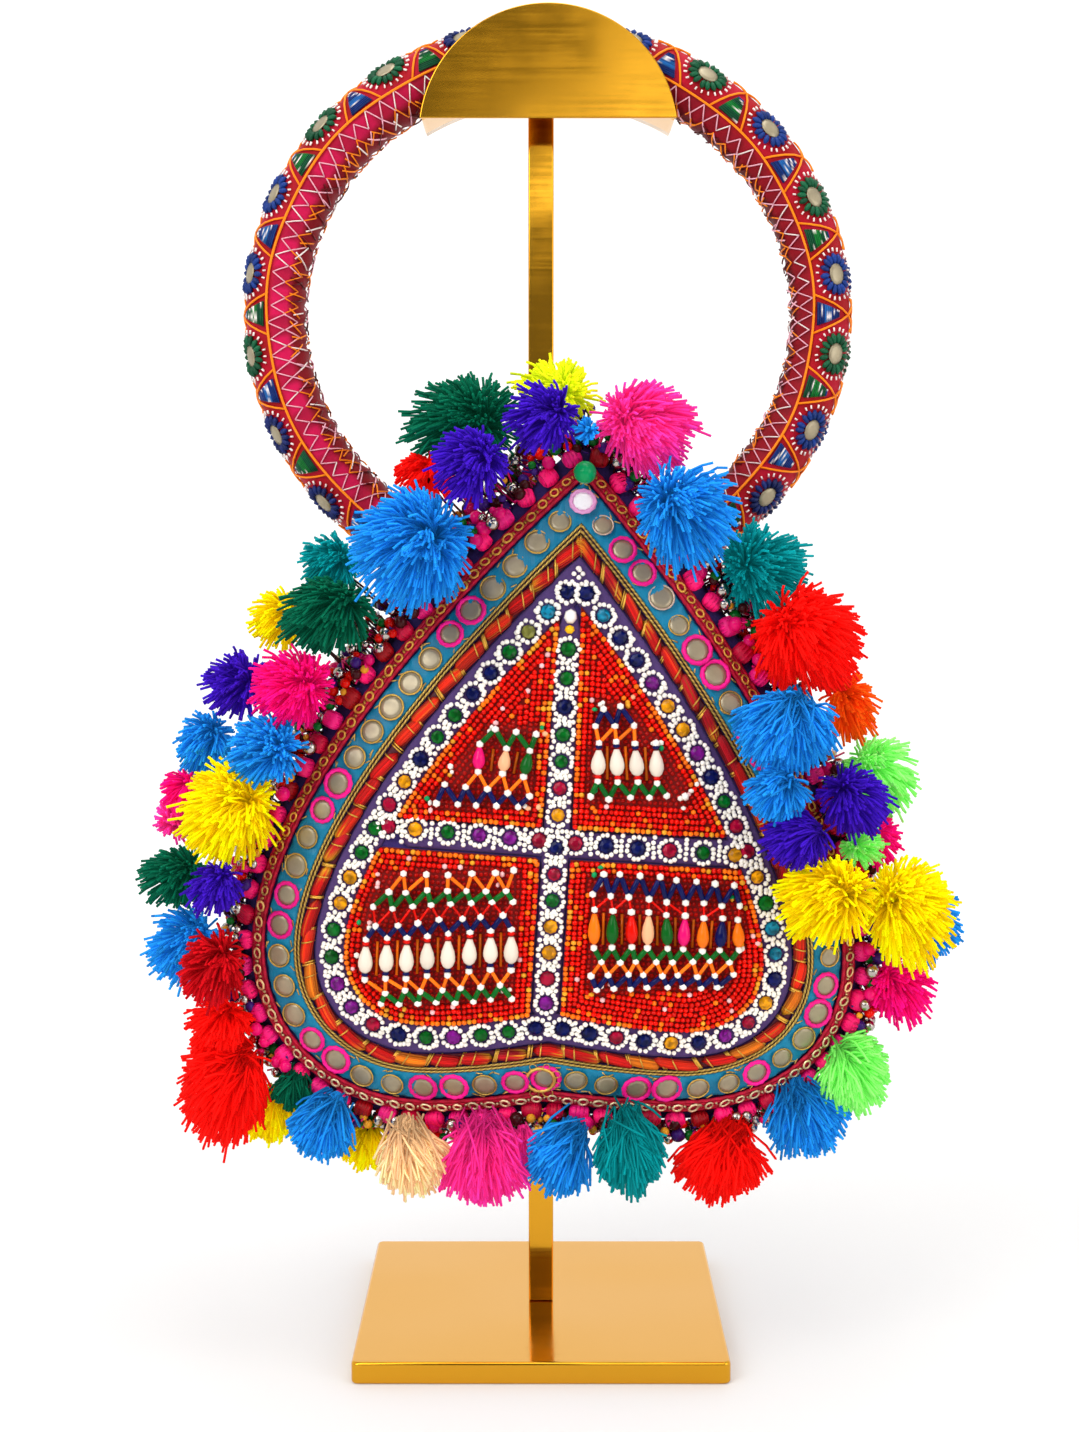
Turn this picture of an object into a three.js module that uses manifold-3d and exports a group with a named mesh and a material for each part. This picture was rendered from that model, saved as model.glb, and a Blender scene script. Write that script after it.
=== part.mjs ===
// Heart-shaped potli bag with a padded ring handle, hung on a polished display stand.
// Millimetres, +Z up, the bag's face towards -Y, origin at the centre of the base's underside.
import * as THREE from 'three';
import Module from 'manifold-3d';
import { mergeVertices } from 'three/addons/utils/BufferGeometryUtils.js';

const wasm = await Module();
wasm.setup();

const GAP = 0.4;

// Stand
const BASE_SIDE = 150;
const BASE_THICK = 9;
const BASE_CORNER = 3;
const BASE_BEVEL = 0.8;
const POST_SIDE = 10.4;
const PLATE_HALF_CHORD = 50.4;
const PLATE_RISE = 44.2;
const PLATE_FOOT = 496.2;
const PLATE_THICK = 2;
const PLATE_FRONT = -39;
const PLATE_STEPS = 24;
const SADDLE_THICK = 2;
const SADDLE_STEPS = 12;

// Padded ring handle
const RING_CENTRE = { x: 2.8, y: -22, z: 421 };
const RING_HALF_WIDTH = 109;
const RING_HALF_HEIGHT = 103.2;
const RING_TUBE = 12.2;
const RING_STEPS = 52;
const RING_SIDES = 8;
const SLEEVE_WALL = 2;
const SLEEVE_HALF_STEPS = 2;

// Heart-shaped pouch: where it hangs, and its piping line from the point down to the notch
const BAG_PLACE = { x: 9.1, z: 234.1 };
const BAG_TILT = 3.6;
const SEAM_Y = -46.8;
const SEAM_GAP = 0.3;
const HEART_CURVES = [
  { from: [0, 125], leave: [50, 74], arrive: [116, -8], to: [116, -66] },
  { from: [116, -66], leave: [116, -104], arrive: [86, -129], to: [52, -129] },
  { from: [52, -129], leave: [34, -129], arrive: [14, -125], to: [0, -122] },
];
const HEART_TOP = 125;
const HALF_STEPS = 20;
const LOOP_STEPS = 2 * HALF_STEPS;
const OUTLINE_SAMPLES = 180;
const AXIS_CLEAR = 0.3;
const LOOP_SLACK = 0.1;
const POINT_ROUND = 0.45;
const WALL = 2;

// A wall swells from the rim: its slope starts steep and dies away over the swell length.
// Degrees at the point of the heart and at the lobes; way is the side it swells to.
const RIM = -11;
const SWELL_LENGTH = 30;
const FRONT = { top: 36, bottom: 46, way: -1, lip: 4 };
const BACK = { top: 20, bottom: 40, way: 1, lip: 3 };
const MOUTH_SHARE = 0.45;
const LIP_FADE = 45;
const MIDDLE = { v: -38, inset: 80 };

// The right lobe is cut shorter than the left: how much at most, and where that begins and ends
const RIGHT_LOBE = { raise: 6.5, across: 140, from: -40, to: -129 };

// Distances in from the piping line, along the cloth
const FRONT_INSETS = [60, 34.5, 25, 16, 3.3, -5, RIM];
const BACK_INSETS = [60, 28, 6, RIM];
const INNER_INSETS = [RIM, 6, 60];
const EDGE_BEADS = { inset: -6, radius: 3.6, sides: 8 };
const PIPING = { inset: 0.4, radius: 2.6, sides: 6 };
const MIRROR_BAND = { from: 3.7, to: 15.2, height: 1.8 };
const MIRRORS = { inset: 9.4, radius: 4.6, sides: 8, height: 0.9, count: 58 };
const GOLD_CORD = { inset: 16.9, radius: 1, sides: 5 };
const BRAID = { from: 18.5, to: 23.5, height: 2.8, shoulder: 1.3 };
const TRELLIS = { from: 25.3, to: 34.2, height: 2.2 };
const CROSS = { u: -2, v: -20, halfWidth: 4.6, lift: 0.6, height: 1.8, reach: 30, search: 0.5, steps: 6 };
const PANEL = { inset: 34.8, clear: 0.5, lift: 2.3, height: 1.9 };
const APEX_BEAD = { v: 124, radius: 4.4, lift: 13.5, sides: 10, rows: 6 };

// Pompoms of cut yarn, placed across (u), up (v) and forward of the seam (out)
const POM_SIDES = 8;
const POM_ROWS = 4;
const POM_VALLEY = 0.84;
const POM_SEAT = 0.3;
const POM_GAP = 0.35;
const POM_REACH = 7;
const POM_LEAST_SHARE = 0.25;
const POM_FLUFF = 1.08;
const RING_CLEAR = { above: 50, y: RING_CENTRE.y - RING_TUBE - 3 };
const POMPOMS = [
  { colour: 'lemon', u: -11, v: 157, out: 4, wide: 18, high: 12 },
  { colour: 'purple', u: -15, v: 142, out: 34, wide: 15, high: 13 },
  { colour: 'pink', u: 24, v: 140, out: 22, wide: 22, high: 17 },
  { colour: 'green', u: -50, v: 141, out: 8, wide: 24, high: 16 },
  { colour: 'purple', u: -42, v: 123, out: 36, wide: 15, high: 15 },
  { colour: 'red', u: -62, v: 119, out: 10, wide: 12, high: 11 },
  { colour: 'blue', u: -65, v: 93, out: 38, wide: 26, high: 24 },
  { colour: 'teal', u: -96, v: 82, out: 8, wide: 12, high: 13 },
  { colour: 'green', u: -93, v: 65, out: 22, wide: 21, high: 17 },
  { colour: 'yellow', u: -116, v: 61, out: 2, wide: 11, high: 12 },
  { colour: 'pink', u: -106, v: 37, out: 24, wide: 17, high: 18 },
  { colour: 'purple', u: -132, v: 33, out: 0, wide: 13, high: 14 },
  { colour: 'blue', u: -115, v: 13, out: 27, wide: 18, high: 15 },
  { colour: 'blue', u: -141, v: 8, out: 0, wide: 12, high: 15 },
  { colour: 'yellow', u: -128, v: -16, out: 20, wide: 20, high: 21 },
  { colour: 'green', u: -151, v: -44, out: 8, wide: 14, high: 14 },
  { colour: 'purple', u: -129, v: -43, out: 28, wide: 12, high: 11 },
  { colour: 'blue', u: -146, v: -71, out: 6, wide: 15, high: 18 },
  { colour: 'crimson', u: -132, v: -75, out: 26, wide: 12, high: 17 },
  { colour: 'red', u: -127, v: -122, out: 12, wide: 17, high: 28 },
  { colour: 'yellow', u: -106, v: -137, out: 0, wide: 11, high: 11 },
  { colour: 'blue', u: -86, v: -137, out: 14, wide: 14, high: 13 },
  { colour: 'yellow', u: -70, v: -150, out: -2, wide: 12, high: 10 },
  { colour: 'peach', u: -51, v: -147, out: 16, wide: 14, high: 16 },
  { colour: 'pink', u: -22, v: -146, out: 14, wide: 21, high: 18 },
  { colour: 'blue', u: 8, v: -144, out: 16, wide: 16, high: 17 },
  { colour: 'teal', u: 35, v: -139, out: 14, wide: 16, high: 17 },
  { colour: 'red', u: 72, v: -144, out: 10, wide: 21, high: 15 },
  { colour: 'blue', u: 102, v: -124, out: 8, wide: 16, high: 17 },
  { colour: 'lime', u: 122, v: -106, out: 10, wide: 16, high: 19 },
  { colour: 'magenta', u: 137, v: -73, out: 4, wide: 14, high: 16 },
  { colour: 'blue', u: 150, v: -46, out: -4, wide: 12, high: 18 },
  { colour: 'yellow', u: 136, v: -35, out: 20, wide: 17, high: 26 },
  { colour: 'yellow', u: 100, v: -31, out: 36, wide: 21, high: 18 },
  { colour: 'purple', u: 91, v: -10, out: 38, wide: 16, high: 12 },
  { colour: 'purple', u: 111, v: 6, out: 24, wide: 15, high: 14 },
  { colour: 'lime', u: 124, v: 14, out: 2, wide: 14, high: 18 },
  { colour: 'blue', u: 82, v: 34, out: 35, wide: 21, high: 20 },
  { colour: 'blue', u: 80, v: 9, out: 41, wide: 15, high: 12 },
  { colour: 'orange', u: 110, v: 39, out: 6, wide: 11, high: 15 },
  { colour: 'red', u: 90, v: 68, out: 20, wide: 20, high: 23 },
  { colour: 'teal', u: 71, v: 90, out: 8, wide: 17, high: 20 },
  { colour: 'blue', u: 39, v: 106, out: 34, wide: 18, high: 22 },
];

const COLOURS = {
  lemon: 0xe3f23a, purple: 0x3b1f8c, pink: 0xff3390, green: 0x10603f, red: 0xe82418, blue: 0x2282d6,
  teal: 0x0f8587, yellow: 0xf7d912, crimson: 0xa81a22, peach: 0xf2c48f, lime: 0x92ee7c, magenta: 0xe0206f,
  orange: 0xf0561f, gold: 0xc99a3b, cloth: 0x4b3a86, ribbon: 0x5b3c78, piping: 0xa5142f, beads: 0xe01560,
  band: 0x1490a8, zari: 0xb99a4a, braid: 0xd8451c, field: 0xc8281c, handle: 0xb8203f, jade: 0x1d8a57,
};

const degrees = THREE.MathUtils.degToRad;

function finish(colour, roughness, metalness = 0) {
  return new THREE.MeshStandardMaterial({ color: COLOURS[colour], roughness, metalness });
}

function named(name, geometry, material) {
  const mesh = new THREE.Mesh(geometry, material);
  mesh.name = name;
  return mesh;
}

// A closed body from points and triangles, turned so that its faces point out.
function body(points, faces) {
  let volume = 0;
  for (let f = 0; f < faces.length; f += 3) {
    const [a, b, c] = [points[faces[f]], points[faces[f + 1]], points[faces[f + 2]]];
    volume += a.dot(new THREE.Vector3().crossVectors(b, c));
  }
  const outward = volume < 0 ? [...faces].reverse() : faces;
  const geometry = new THREE.BufferGeometry().setFromPoints(points);
  geometry.setIndex(outward);
  geometry.computeVertexNormals();
  return geometry;
}

// Rings of points joined in a row: either the last joins the first, or both ends close on a tip.
function loft(rings, tips = null) {
  const sides = rings[0].length;
  const points = rings.flat();
  const faces = [];
  const spans = tips ? rings.length - 1 : rings.length;
  for (let r = 0; r < spans; r += 1) {
    const next = (r + 1) % rings.length;
    for (let s = 0; s < sides; s += 1) {
      const other = (s + 1) % sides;
      const corner = [r * sides + s, r * sides + other, next * sides + other, next * sides + s];
      faces.push(corner[0], corner[1], corner[2], corner[0], corner[2], corner[3]);
    }
  }
  if (tips) {
    const last = (rings.length - 1) * sides;
    const first = points.push(tips[0], tips[1]) - 2;
    for (let s = 0; s < sides; s += 1) {
      const other = (s + 1) % sides;
      faces.push(first, other, s, first + 1, last + s, last + other);
    }
  }
  return body(points, faces);
}

function solidOf(geometry) {
  const bare = geometry.clone();
  bare.deleteAttribute('normal');
  bare.deleteAttribute('uv');
  const merged = mergeVertices(bare, 1e-4);
  return new wasm.Manifold(new wasm.Mesh({
    numProp: 3,
    vertProperties: new Float32Array(merged.attributes.position.array),
    triVerts: new Uint32Array(merged.index.array),
  }));
}

// Several overlapping bodies joined into one.
function fuse(geometries) {
  const joined = geometries.map(solidOf).reduce((all, solid) => all.add(solid));
  const mesh = joined.getMesh();
  const geometry = new THREE.BufferGeometry();
  geometry.setAttribute('position', new THREE.BufferAttribute(new Float32Array(mesh.vertProperties), 3));
  geometry.setIndex([...mesh.triVerts]);
  geometry.computeVertexNormals();
  return geometry;
}

// Stand

function standBase() {
  const half = BASE_SIDE / 2 - BASE_BEVEL;
  const turn = half - BASE_CORNER;
  const square = new THREE.Shape();
  square.absarc(turn, turn, BASE_CORNER, 0, Math.PI / 2);
  square.absarc(-turn, turn, BASE_CORNER, Math.PI / 2, Math.PI);
  square.absarc(-turn, -turn, BASE_CORNER, Math.PI, 1.5 * Math.PI);
  square.absarc(turn, -turn, BASE_CORNER, 1.5 * Math.PI, 2 * Math.PI);
  const plate = new THREE.ExtrudeGeometry(square, {
    depth: BASE_THICK - 2 * BASE_BEVEL,
    bevelSize: BASE_BEVEL,
    bevelThickness: BASE_BEVEL,
    bevelSegments: 1,
    curveSegments: 2,
  });
  return plate.translate(0, 0, BASE_BEVEL);
}

// The saddle's upper side follows the inside of the ring's top.
function saddleTop(x, below = 0) {
  const reach = RING_HALF_WIDTH - RING_TUBE - GAP - below;
  const rise = RING_HALF_HEIGHT - RING_TUBE - GAP - below;
  return RING_CENTRE.z + rise * Math.sqrt(1 - (x / reach) ** 2);
}

function saddle() {
  const arc = new THREE.Shape();
  const across = (k) => PLATE_HALF_CHORD * (2 * k / SADDLE_STEPS - 1);
  arc.moveTo(across(0), saddleTop(across(0)));
  for (let k = 1; k <= SADDLE_STEPS; k += 1) {
    arc.lineTo(across(k), saddleTop(across(k)));
  }
  for (let k = SADDLE_STEPS; k >= 0; k -= 1) {
    arc.lineTo(across(k), saddleTop(across(k), SADDLE_THICK));
  }
  const depth = POST_SIDE / 2 - PLATE_FRONT - PLATE_THICK / 2;
  const strip = new THREE.ExtrudeGeometry(arc, { depth, bevelEnabled: false });
  return strip.rotateX(Math.PI / 2).translate(RING_CENTRE.x, POST_SIDE / 2, 0);
}

function frontPlate() {
  const radius = (PLATE_HALF_CHORD ** 2 + PLATE_RISE ** 2) / (2 * PLATE_RISE);
  const middle = PLATE_FOOT + PLATE_RISE - radius;
  const dip = Math.asin((PLATE_FOOT - middle) / radius);
  const disc = new THREE.Shape();
  disc.absarc(0, middle, radius, dip, Math.PI - dip);
  const plate = new THREE.ExtrudeGeometry(disc, {
    depth: PLATE_THICK,
    bevelEnabled: false,
    curveSegments: PLATE_STEPS,
  });
  return plate.rotateX(Math.PI / 2).translate(RING_CENTRE.x, PLATE_FRONT + PLATE_THICK, 0);
}

function standHolder() {
  const top = saddleTop(POST_SIDE, SADDLE_THICK / 2);
  const height = top - BASE_THICK;
  const post = new THREE.BoxGeometry(POST_SIDE, POST_SIDE, height).translate(0, 0, BASE_THICK + height / 2);
  return fuse([post, saddle(), frontPlate()]);
}

// Ring handle

// Points of the padded tube round the ring at one step.
function ringSection(step, radius) {
  const turn = 2 * Math.PI * step / RING_STEPS;
  const centre = new THREE.Vector3(
    RING_CENTRE.x + RING_HALF_WIDTH * Math.cos(turn),
    RING_CENTRE.y,
    RING_CENTRE.z + RING_HALF_HEIGHT * Math.sin(turn),
  );
  const outward = new THREE.Vector3(RING_HALF_HEIGHT * Math.cos(turn), 0, RING_HALF_WIDTH * Math.sin(turn));
  outward.normalize();
  return Array.from({ length: RING_SIDES }, (_, side) => {
    const around = 2 * Math.PI * side / RING_SIDES;
    const point = centre.clone().addScaledVector(outward, radius * Math.cos(around));
    point.y += radius * Math.sin(around);
    return point;
  });
}

function ringHandle() {
  return loft(Array.from({ length: RING_STEPS }, (_, step) => ringSection(step, RING_TUBE)));
}

function ringSleeve() {
  const lowest = 3 * RING_STEPS / 4;
  const outer = [];
  const inner = [];
  for (let k = -SLEEVE_HALF_STEPS; k <= SLEEVE_HALF_STEPS; k += 1) {
    outer.push(ringSection(lowest + k, RING_TUBE + GAP + SLEEVE_WALL));
    inner.unshift(ringSection(lowest + k, RING_TUBE + GAP));
  }
  return loft([...outer, ...inner]);
}

// Heart outline and the swelling cloth

function heartHalf() {
  const path = new THREE.CurvePath();
  for (const row of HEART_CURVES) {
    const ends = [row.from, row.leave, row.arrive, row.to].map(([u, v]) => new THREE.Vector2(u, v));
    path.add(new THREE.CubicBezierCurve(...ends));
  }
  return path.getSpacedPoints(OUTLINE_SAMPLES);
}

const HALF = heartHalf();

function distanceToOutline(u, v) {
  return Math.min(...HALF.map((point) => Math.hypot(point.x - Math.abs(u), point.y - v)));
}

function spaced(line, steps) {
  const lengths = [0];
  for (let k = 1; k < line.length; k += 1) {
    lengths.push(lengths[k - 1] + line[k].distanceTo(line[k - 1]));
  }
  const total = lengths[lengths.length - 1];
  let k = 1;
  return Array.from({ length: steps + 1 }, (_, step) => {
    const want = total * step / steps;
    while (k < line.length - 1 && lengths[k] < want) {
      k += 1;
    }
    const share = (want - lengths[k - 1]) / (lengths[k] - lengths[k - 1]);
    return line[k - 1].clone().lerp(line[k], share);
  });
}

// Where the line through two points, carried on, meets the heart's axis.
function onAxis(point, before) {
  const climb = (point.y - before.y) / (point.x - before.x);
  return new THREE.Vector2(0, point.y - climb * point.x);
}

// Closed loop parallel to the outline, clockwise from the point of the heart.
function heartLoop(inset) {
  const moved = HALF.map((point, k) => {
    const before = HALF[Math.max(k - 1, 0)];
    const after = HALF[Math.min(k + 1, HALF.length - 1)];
    const along = after.clone().sub(before).normalize();
    return new THREE.Vector2(point.x + inset * along.y, point.y - inset * along.x);
  });
  const least = Math.abs(inset) - LOOP_SLACK;
  const kept = moved.filter((p) => p.x > AXIS_CLEAR && distanceToOutline(p.x, p.y) > least);
  const end = kept.length - 1;
  const point = onAxis(kept[0], kept[2]);
  if (inset < 0) {
    point.y = THREE.MathUtils.lerp(kept[0].y, point.y, POINT_ROUND);
  }
  const line = [point, ...kept, onAxis(kept[end], kept[end - 2])];
  const right = spaced(line, HALF_STEPS);
  const left = right.slice(1, -1).reverse().map((p) => new THREE.Vector2(-p.x, p.y));
  return [...right, ...left];
}

const LOOP_INSETS = [-12, -8, -4, 0, 8, 16, 25, 35, 48, 62];
const LOOPS = LOOP_INSETS.map(heartLoop);

// Point of grid line i at a flat distance in from the outline.
function flatPoint(i, flat) {
  let k = 1;
  while (k < LOOP_INSETS.length - 1 && LOOP_INSETS[k] < flat) {
    k += 1;
  }
  const share = (flat - LOOP_INSETS[k - 1]) / (LOOP_INSETS[k] - LOOP_INSETS[k - 1]);
  return LOOPS[k - 1][i].clone().lerp(LOOPS[k][i], share);
}

// Sine integral and its cosine partner, as series that hold up to a right angle.
const sineIntegral = (x) => x - x ** 3 / 18 + x ** 5 / 600;
const cosineIntegral = (x) => x ** 2 / 4 - x ** 4 / 96 + x ** 6 / 4320;

function rimSlope(wall, v) {
  const share = (HEART_TOP - v) / (2 * HEART_TOP);
  return degrees(wall.top + (wall.bottom - wall.top) * share);
}

const slopeAt = (wall, v, inset) => rimSlope(wall, v) * Math.exp((RIM - inset) / SWELL_LENGTH);

function depthAt(wall, v, inset) {
  return SWELL_LENGTH * (sineIntegral(rimSlope(wall, v)) - sineIntegral(slopeAt(wall, v, inset)));
}

// Flat distance that a distance along the cloth covers, both from the piping line.
function flatInset(wall, v, inset) {
  const lost = (side, at) => SWELL_LENGTH * cosineIntegral(slopeAt(side, v, at));
  const rim = RIM + lost(FRONT, RIM) - lost(FRONT, 0);
  return rim + inset - RIM - lost(wall, RIM) + lost(wall, inset);
}

// The lips of the mouth stand apart along the upper slopes.
function lipAt(wall, i, inset) {
  const share = Math.min(i, LOOP_STEPS - i) / (HALF_STEPS * MOUTH_SHARE);
  const open = Math.max(0, 1 - share ** 2);
  const fade = Math.max(0, 1 - (inset - RIM) / LIP_FADE);
  return wall.lip * open * fade;
}

// Point on a wall of the pouch: grid line, distance in along the cloth, height off the cloth.
function facePoint(wall, i, inset, lift = 0) {
  const v = LOOPS[LOOP_INSETS.indexOf(0)][i].y;
  const slope = slopeAt(wall, v, inset);
  const flat = flatPoint(i, flatInset(wall, v, inset) - lift * Math.sin(slope));
  const depth = Math.max(0, depthAt(wall, flat.y, inset) + lift * Math.cos(slope));
  const y = SEAM_Y + wall.way * (SEAM_GAP / 2 + depth + lipAt(wall, i, inset));
  return new THREE.Vector3(flat.x, y, flat.y);
}

// Point on the front at any place across and up, for what lies inside the frame.
function frontPoint(u, v, lift) {
  const flat = distanceToOutline(u, v);
  const inset = 2 * flat - flatInset(FRONT, v, flat);
  const y = SEAM_Y - SEAM_GAP / 2 - depthAt(FRONT, v, inset) - lift;
  return new THREE.Vector3(u, y, v);
}

const gridLines = Array.from({ length: LOOP_STEPS }, (_, i) => i);

function pouchWall(wall, insets) {
  const outer = insets.map((inset) => gridLines.map((i) => facePoint(wall, i, inset)));
  const inner = INNER_INSETS.map((inset) => gridLines.map((i) => facePoint(wall, i, inset, -WALL)));
  const depth = depthAt(wall, MIDDLE.v, MIDDLE.inset);
  const middle = (lift) => new THREE.Vector3(0, SEAM_Y + wall.way * (depth + lift), MIDDLE.v);
  return loft([...outer, ...inner], [middle(0), middle(-WALL)]);
}

// A round cord or string laid on the front, parallel to the outline.
function laidCord({ inset, radius, sides }) {
  return loft(gridLines.map((i) => {
    const centre = facePoint(FRONT, i, inset, radius + GAP);
    const across = facePoint(FRONT, i, inset + 1, radius + GAP).sub(centre).normalize();
    const off = facePoint(FRONT, i, inset, radius + GAP + 1).sub(centre).normalize();
    return Array.from({ length: sides }, (_, side) => {
      const around = 2 * Math.PI * (side + 0.5) / sides;
      const point = centre.clone().addScaledVector(across, radius * Math.cos(around));
      return point.addScaledVector(off, radius * Math.sin(around));
    });
  }));
}

// A flat band laid on the front, with its shoulders drawn in by an amount.
function laidBand({ from, to, height, shoulder = 0 }) {
  return loft(gridLines.map((i) => [
    facePoint(FRONT, i, from, GAP),
    facePoint(FRONT, i, from + shoulder, GAP + height),
    facePoint(FRONT, i, to - shoulder, GAP + height),
    facePoint(FRONT, i, to, GAP),
  ]));
}

function mirrorBand() {
  const foot = GAP + MIRROR_BAND.height / 2;
  const line = [...gridLines, 0].map((i) => facePoint(FRONT, i, MIRRORS.inset, foot));
  const offs = [...gridLines, 0].map((i) => facePoint(FRONT, i, MIRRORS.inset, foot + 1));
  const thick = MIRROR_BAND.height / 2 + MIRRORS.height;
  const places = spaced(line, MIRRORS.count).slice(0, -1);
  const discs = places.map((place) => {
    const away = line.map((p) => p.distanceTo(place));
    const nearest = away.indexOf(Math.min(...away));
    const normal = offs[nearest].clone().sub(line[nearest]).normalize();
    const disc = new THREE.CylinderGeometry(MIRRORS.radius, MIRRORS.radius, thick, MIRRORS.sides);
    disc.translate(0, thick / 2, 0);
    disc.applyQuaternion(new THREE.Quaternion().setFromUnitVectors(new THREE.Vector3(0, 1, 0), normal));
    return disc.translate(place.x, place.y, place.z);
  });
  return fuse([laidBand(MIRROR_BAND), ...discs]);
}

// One arm of the cross, from a first to a last place along it.
function crossBar(first, last, alongU) {
  const sides = [[-1, 0], [-1, 1], [1, 1], [1, 0]];
  const rings = Array.from({ length: CROSS.steps + 1 }, (_, step) => {
    const along = first + (last - first) * step / CROSS.steps;
    return sides.map(([side, up]) => {
      const across = side * CROSS.halfWidth;
      const lift = CROSS.lift + up * CROSS.height;
      return alongU
        ? frontPoint(along, CROSS.v + across, lift)
        : frontPoint(CROSS.u + across, along, lift);
    });
  });
  const tip = (ring) => ring.reduce((sum, p) => sum.add(p), new THREE.Vector3()).divideScalar(ring.length);
  return loft(rings, [tip(rings[0]), tip(rings[CROSS.steps])]);
}

// Last place, stepping out from the cross centre, that is still far enough inside the outline.
function reachOf(place) {
  let far = 0;
  while (distanceToOutline(...place(far)) > CROSS.reach) {
    far += CROSS.search;
  }
  return far;
}

function trellis() {
  const right = reachOf((far) => [CROSS.u + far, CROSS.v]);
  const left = reachOf((far) => [CROSS.u - far, CROSS.v]);
  const up = reachOf((far) => [CROSS.u, CROSS.v + far]);
  const down = reachOf((far) => [CROSS.u, CROSS.v - far]);
  return fuse([
    laidBand(TRELLIS),
    crossBar(CROSS.u - left, CROSS.u + right, true),
    crossBar(CROSS.v - down, CROSS.v + up, false),
  ]);
}

// The part of a closed outline where keep is positive, cut straight across where it changes sign.
function cutOutline(points, keep) {
  const cut = [];
  points.forEach((point, k) => {
    const next = points[(k + 1) % points.length];
    const [here, there] = [keep(point), keep(next)];
    if (here >= 0) {
      cut.push(point);
    }
    if (here * there < 0) {
      cut.push(point.clone().lerp(next, here / (here - there)));
    }
  });
  return cut;
}

// A beaded field fills one quarter between the frame and the cross.
function beadPanel(sideU, sideV) {
  const edge = CROSS.halfWidth + PANEL.clear;
  const frame = gridLines.map((i) => {
    const point = facePoint(FRONT, i, PANEL.inset);
    return new THREE.Vector2(point.x, point.z);
  });
  const half = cutOutline(frame, (p) => sideU * (p.x - CROSS.u) - edge);
  const outline = cutOutline(half, (p) => sideV * (p.y - CROSS.v) - edge);
  const middle = outline.reduce((sum, p) => sum.add(p), new THREE.Vector2()).divideScalar(outline.length);
  const level = (lift) => outline.map((p) => frontPoint(p.x, p.y, lift));
  const [low, high] = [PANEL.lift, PANEL.lift + PANEL.height];
  const tips = [low, high].map((lift) => frontPoint(middle.x, middle.y, lift));
  return loft([level(low), level(high)], tips);
}

function apexBead() {
  const bead = new THREE.SphereGeometry(APEX_BEAD.radius, APEX_BEAD.sides, APEX_BEAD.rows);
  const place = facePoint(FRONT, 0, 0, APEX_BEAD.lift);
  return bead.translate(0, place.y, APEX_BEAD.v);
}

// Pompoms

// Half size of a pompom in a direction from its centre.
function pomRadius(pom, way) {
  return 1 / Math.hypot(way.x / pom.wide, way.z / pom.high, way.y / pom.deep);
}

// Planes that a pompom may not cross, as an outward normal and a distance from its centre.
function pomLimits(pom, others, cloth) {
  const limits = [];
  for (const other of others) {
    const way = other.centre.clone().sub(pom.centre);
    const far = way.length();
    way.normalize();
    const mine = pomRadius(pom, way);
    const theirs = pomRadius(other, way);
    const share = THREE.MathUtils.clamp(
      0.5 + (mine - theirs) / (2 * far),
      POM_LEAST_SHARE,
      1 - POM_LEAST_SHARE,
    );
    limits.push({ way, far: far * share - POM_GAP / 2 });
  }
  const near = cloth.filter((p) => p.distanceTo(pom.centre) < Math.max(pom.wide, pom.high) + POM_REACH);
  if (near.length > 0) {
    const away = pom.seat.clone().negate();
    const support = Math.max(...near.map((p) => p.dot(pom.seat)));
    limits.push({ way: away, far: pom.centre.dot(pom.seat) - support - POM_GAP });
  }
  if (pom.centre.z > RING_CLEAR.above) {
    limits.push({ way: new THREE.Vector3(0, 1, 0), far: RING_CLEAR.y - pom.centre.y });
  }
  return limits;
}

// Each pompom is set on the cloth nearest to it, facing away from it.
function seated(row, cloth) {
  const wide = POM_FLUFF * row.wide;
  const high = POM_FLUFF * row.high;
  const deep = Math.min(wide, high);
  const centre = new THREE.Vector3(row.u, SEAM_Y - row.out, row.v);
  const nearest = cloth.reduce((best, p) => (p.distanceTo(centre) < best.distanceTo(centre) ? p : best));
  const seat = centre.clone().sub(nearest).normalize();
  const near = cloth.filter((p) => p.distanceTo(centre) < Math.max(wide, high) + POM_REACH);
  const support = Math.max(...near.map((p) => p.dot(seat)), -Infinity);
  const push = Math.max(0, support + POM_SEAT * deep - centre.dot(seat));
  centre.addScaledVector(seat, push);
  if (centre.z > RING_CLEAR.above) {
    centre.y = Math.min(centre.y, RING_CLEAR.y - POM_SEAT * deep);
  }
  return { colour: row.colour, wide, high, deep, centre, seat };
}

// Locks of yarn fan from the tie at the seat to a lobed dome.
function pompom(pom, limits) {
  const turn = new THREE.Quaternion().setFromUnitVectors(new THREE.Vector3(0, 0, 1), pom.seat);
  const reach = (way, lock) => {
    let far = pomRadius(pom, way) * lock;
    for (const limit of limits) {
      const facing = way.dot(limit.way);
      if (facing > 0) {
        far = Math.min(far, limit.far / facing);
      }
    }
    return pom.centre.clone().addScaledVector(way, far);
  };
  const rings = Array.from({ length: POM_ROWS }, (_, row) => {
    const polar = Math.PI * (row + 1) / (POM_ROWS + 1);
    return Array.from({ length: POM_SIDES }, (__, side) => {
      const way = new THREE.Vector3().setFromSphericalCoords(1, polar, 2 * Math.PI * side / POM_SIDES);
      way.set(way.x, way.z, way.y).applyQuaternion(turn);
      return reach(way, (side + row) % 2 ? POM_VALLEY : 1);
    });
  });
  return loft(rings, [reach(pom.seat.clone(), 1), reach(pom.seat.clone().negate(), 1)]);
}

// Assembly

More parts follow.
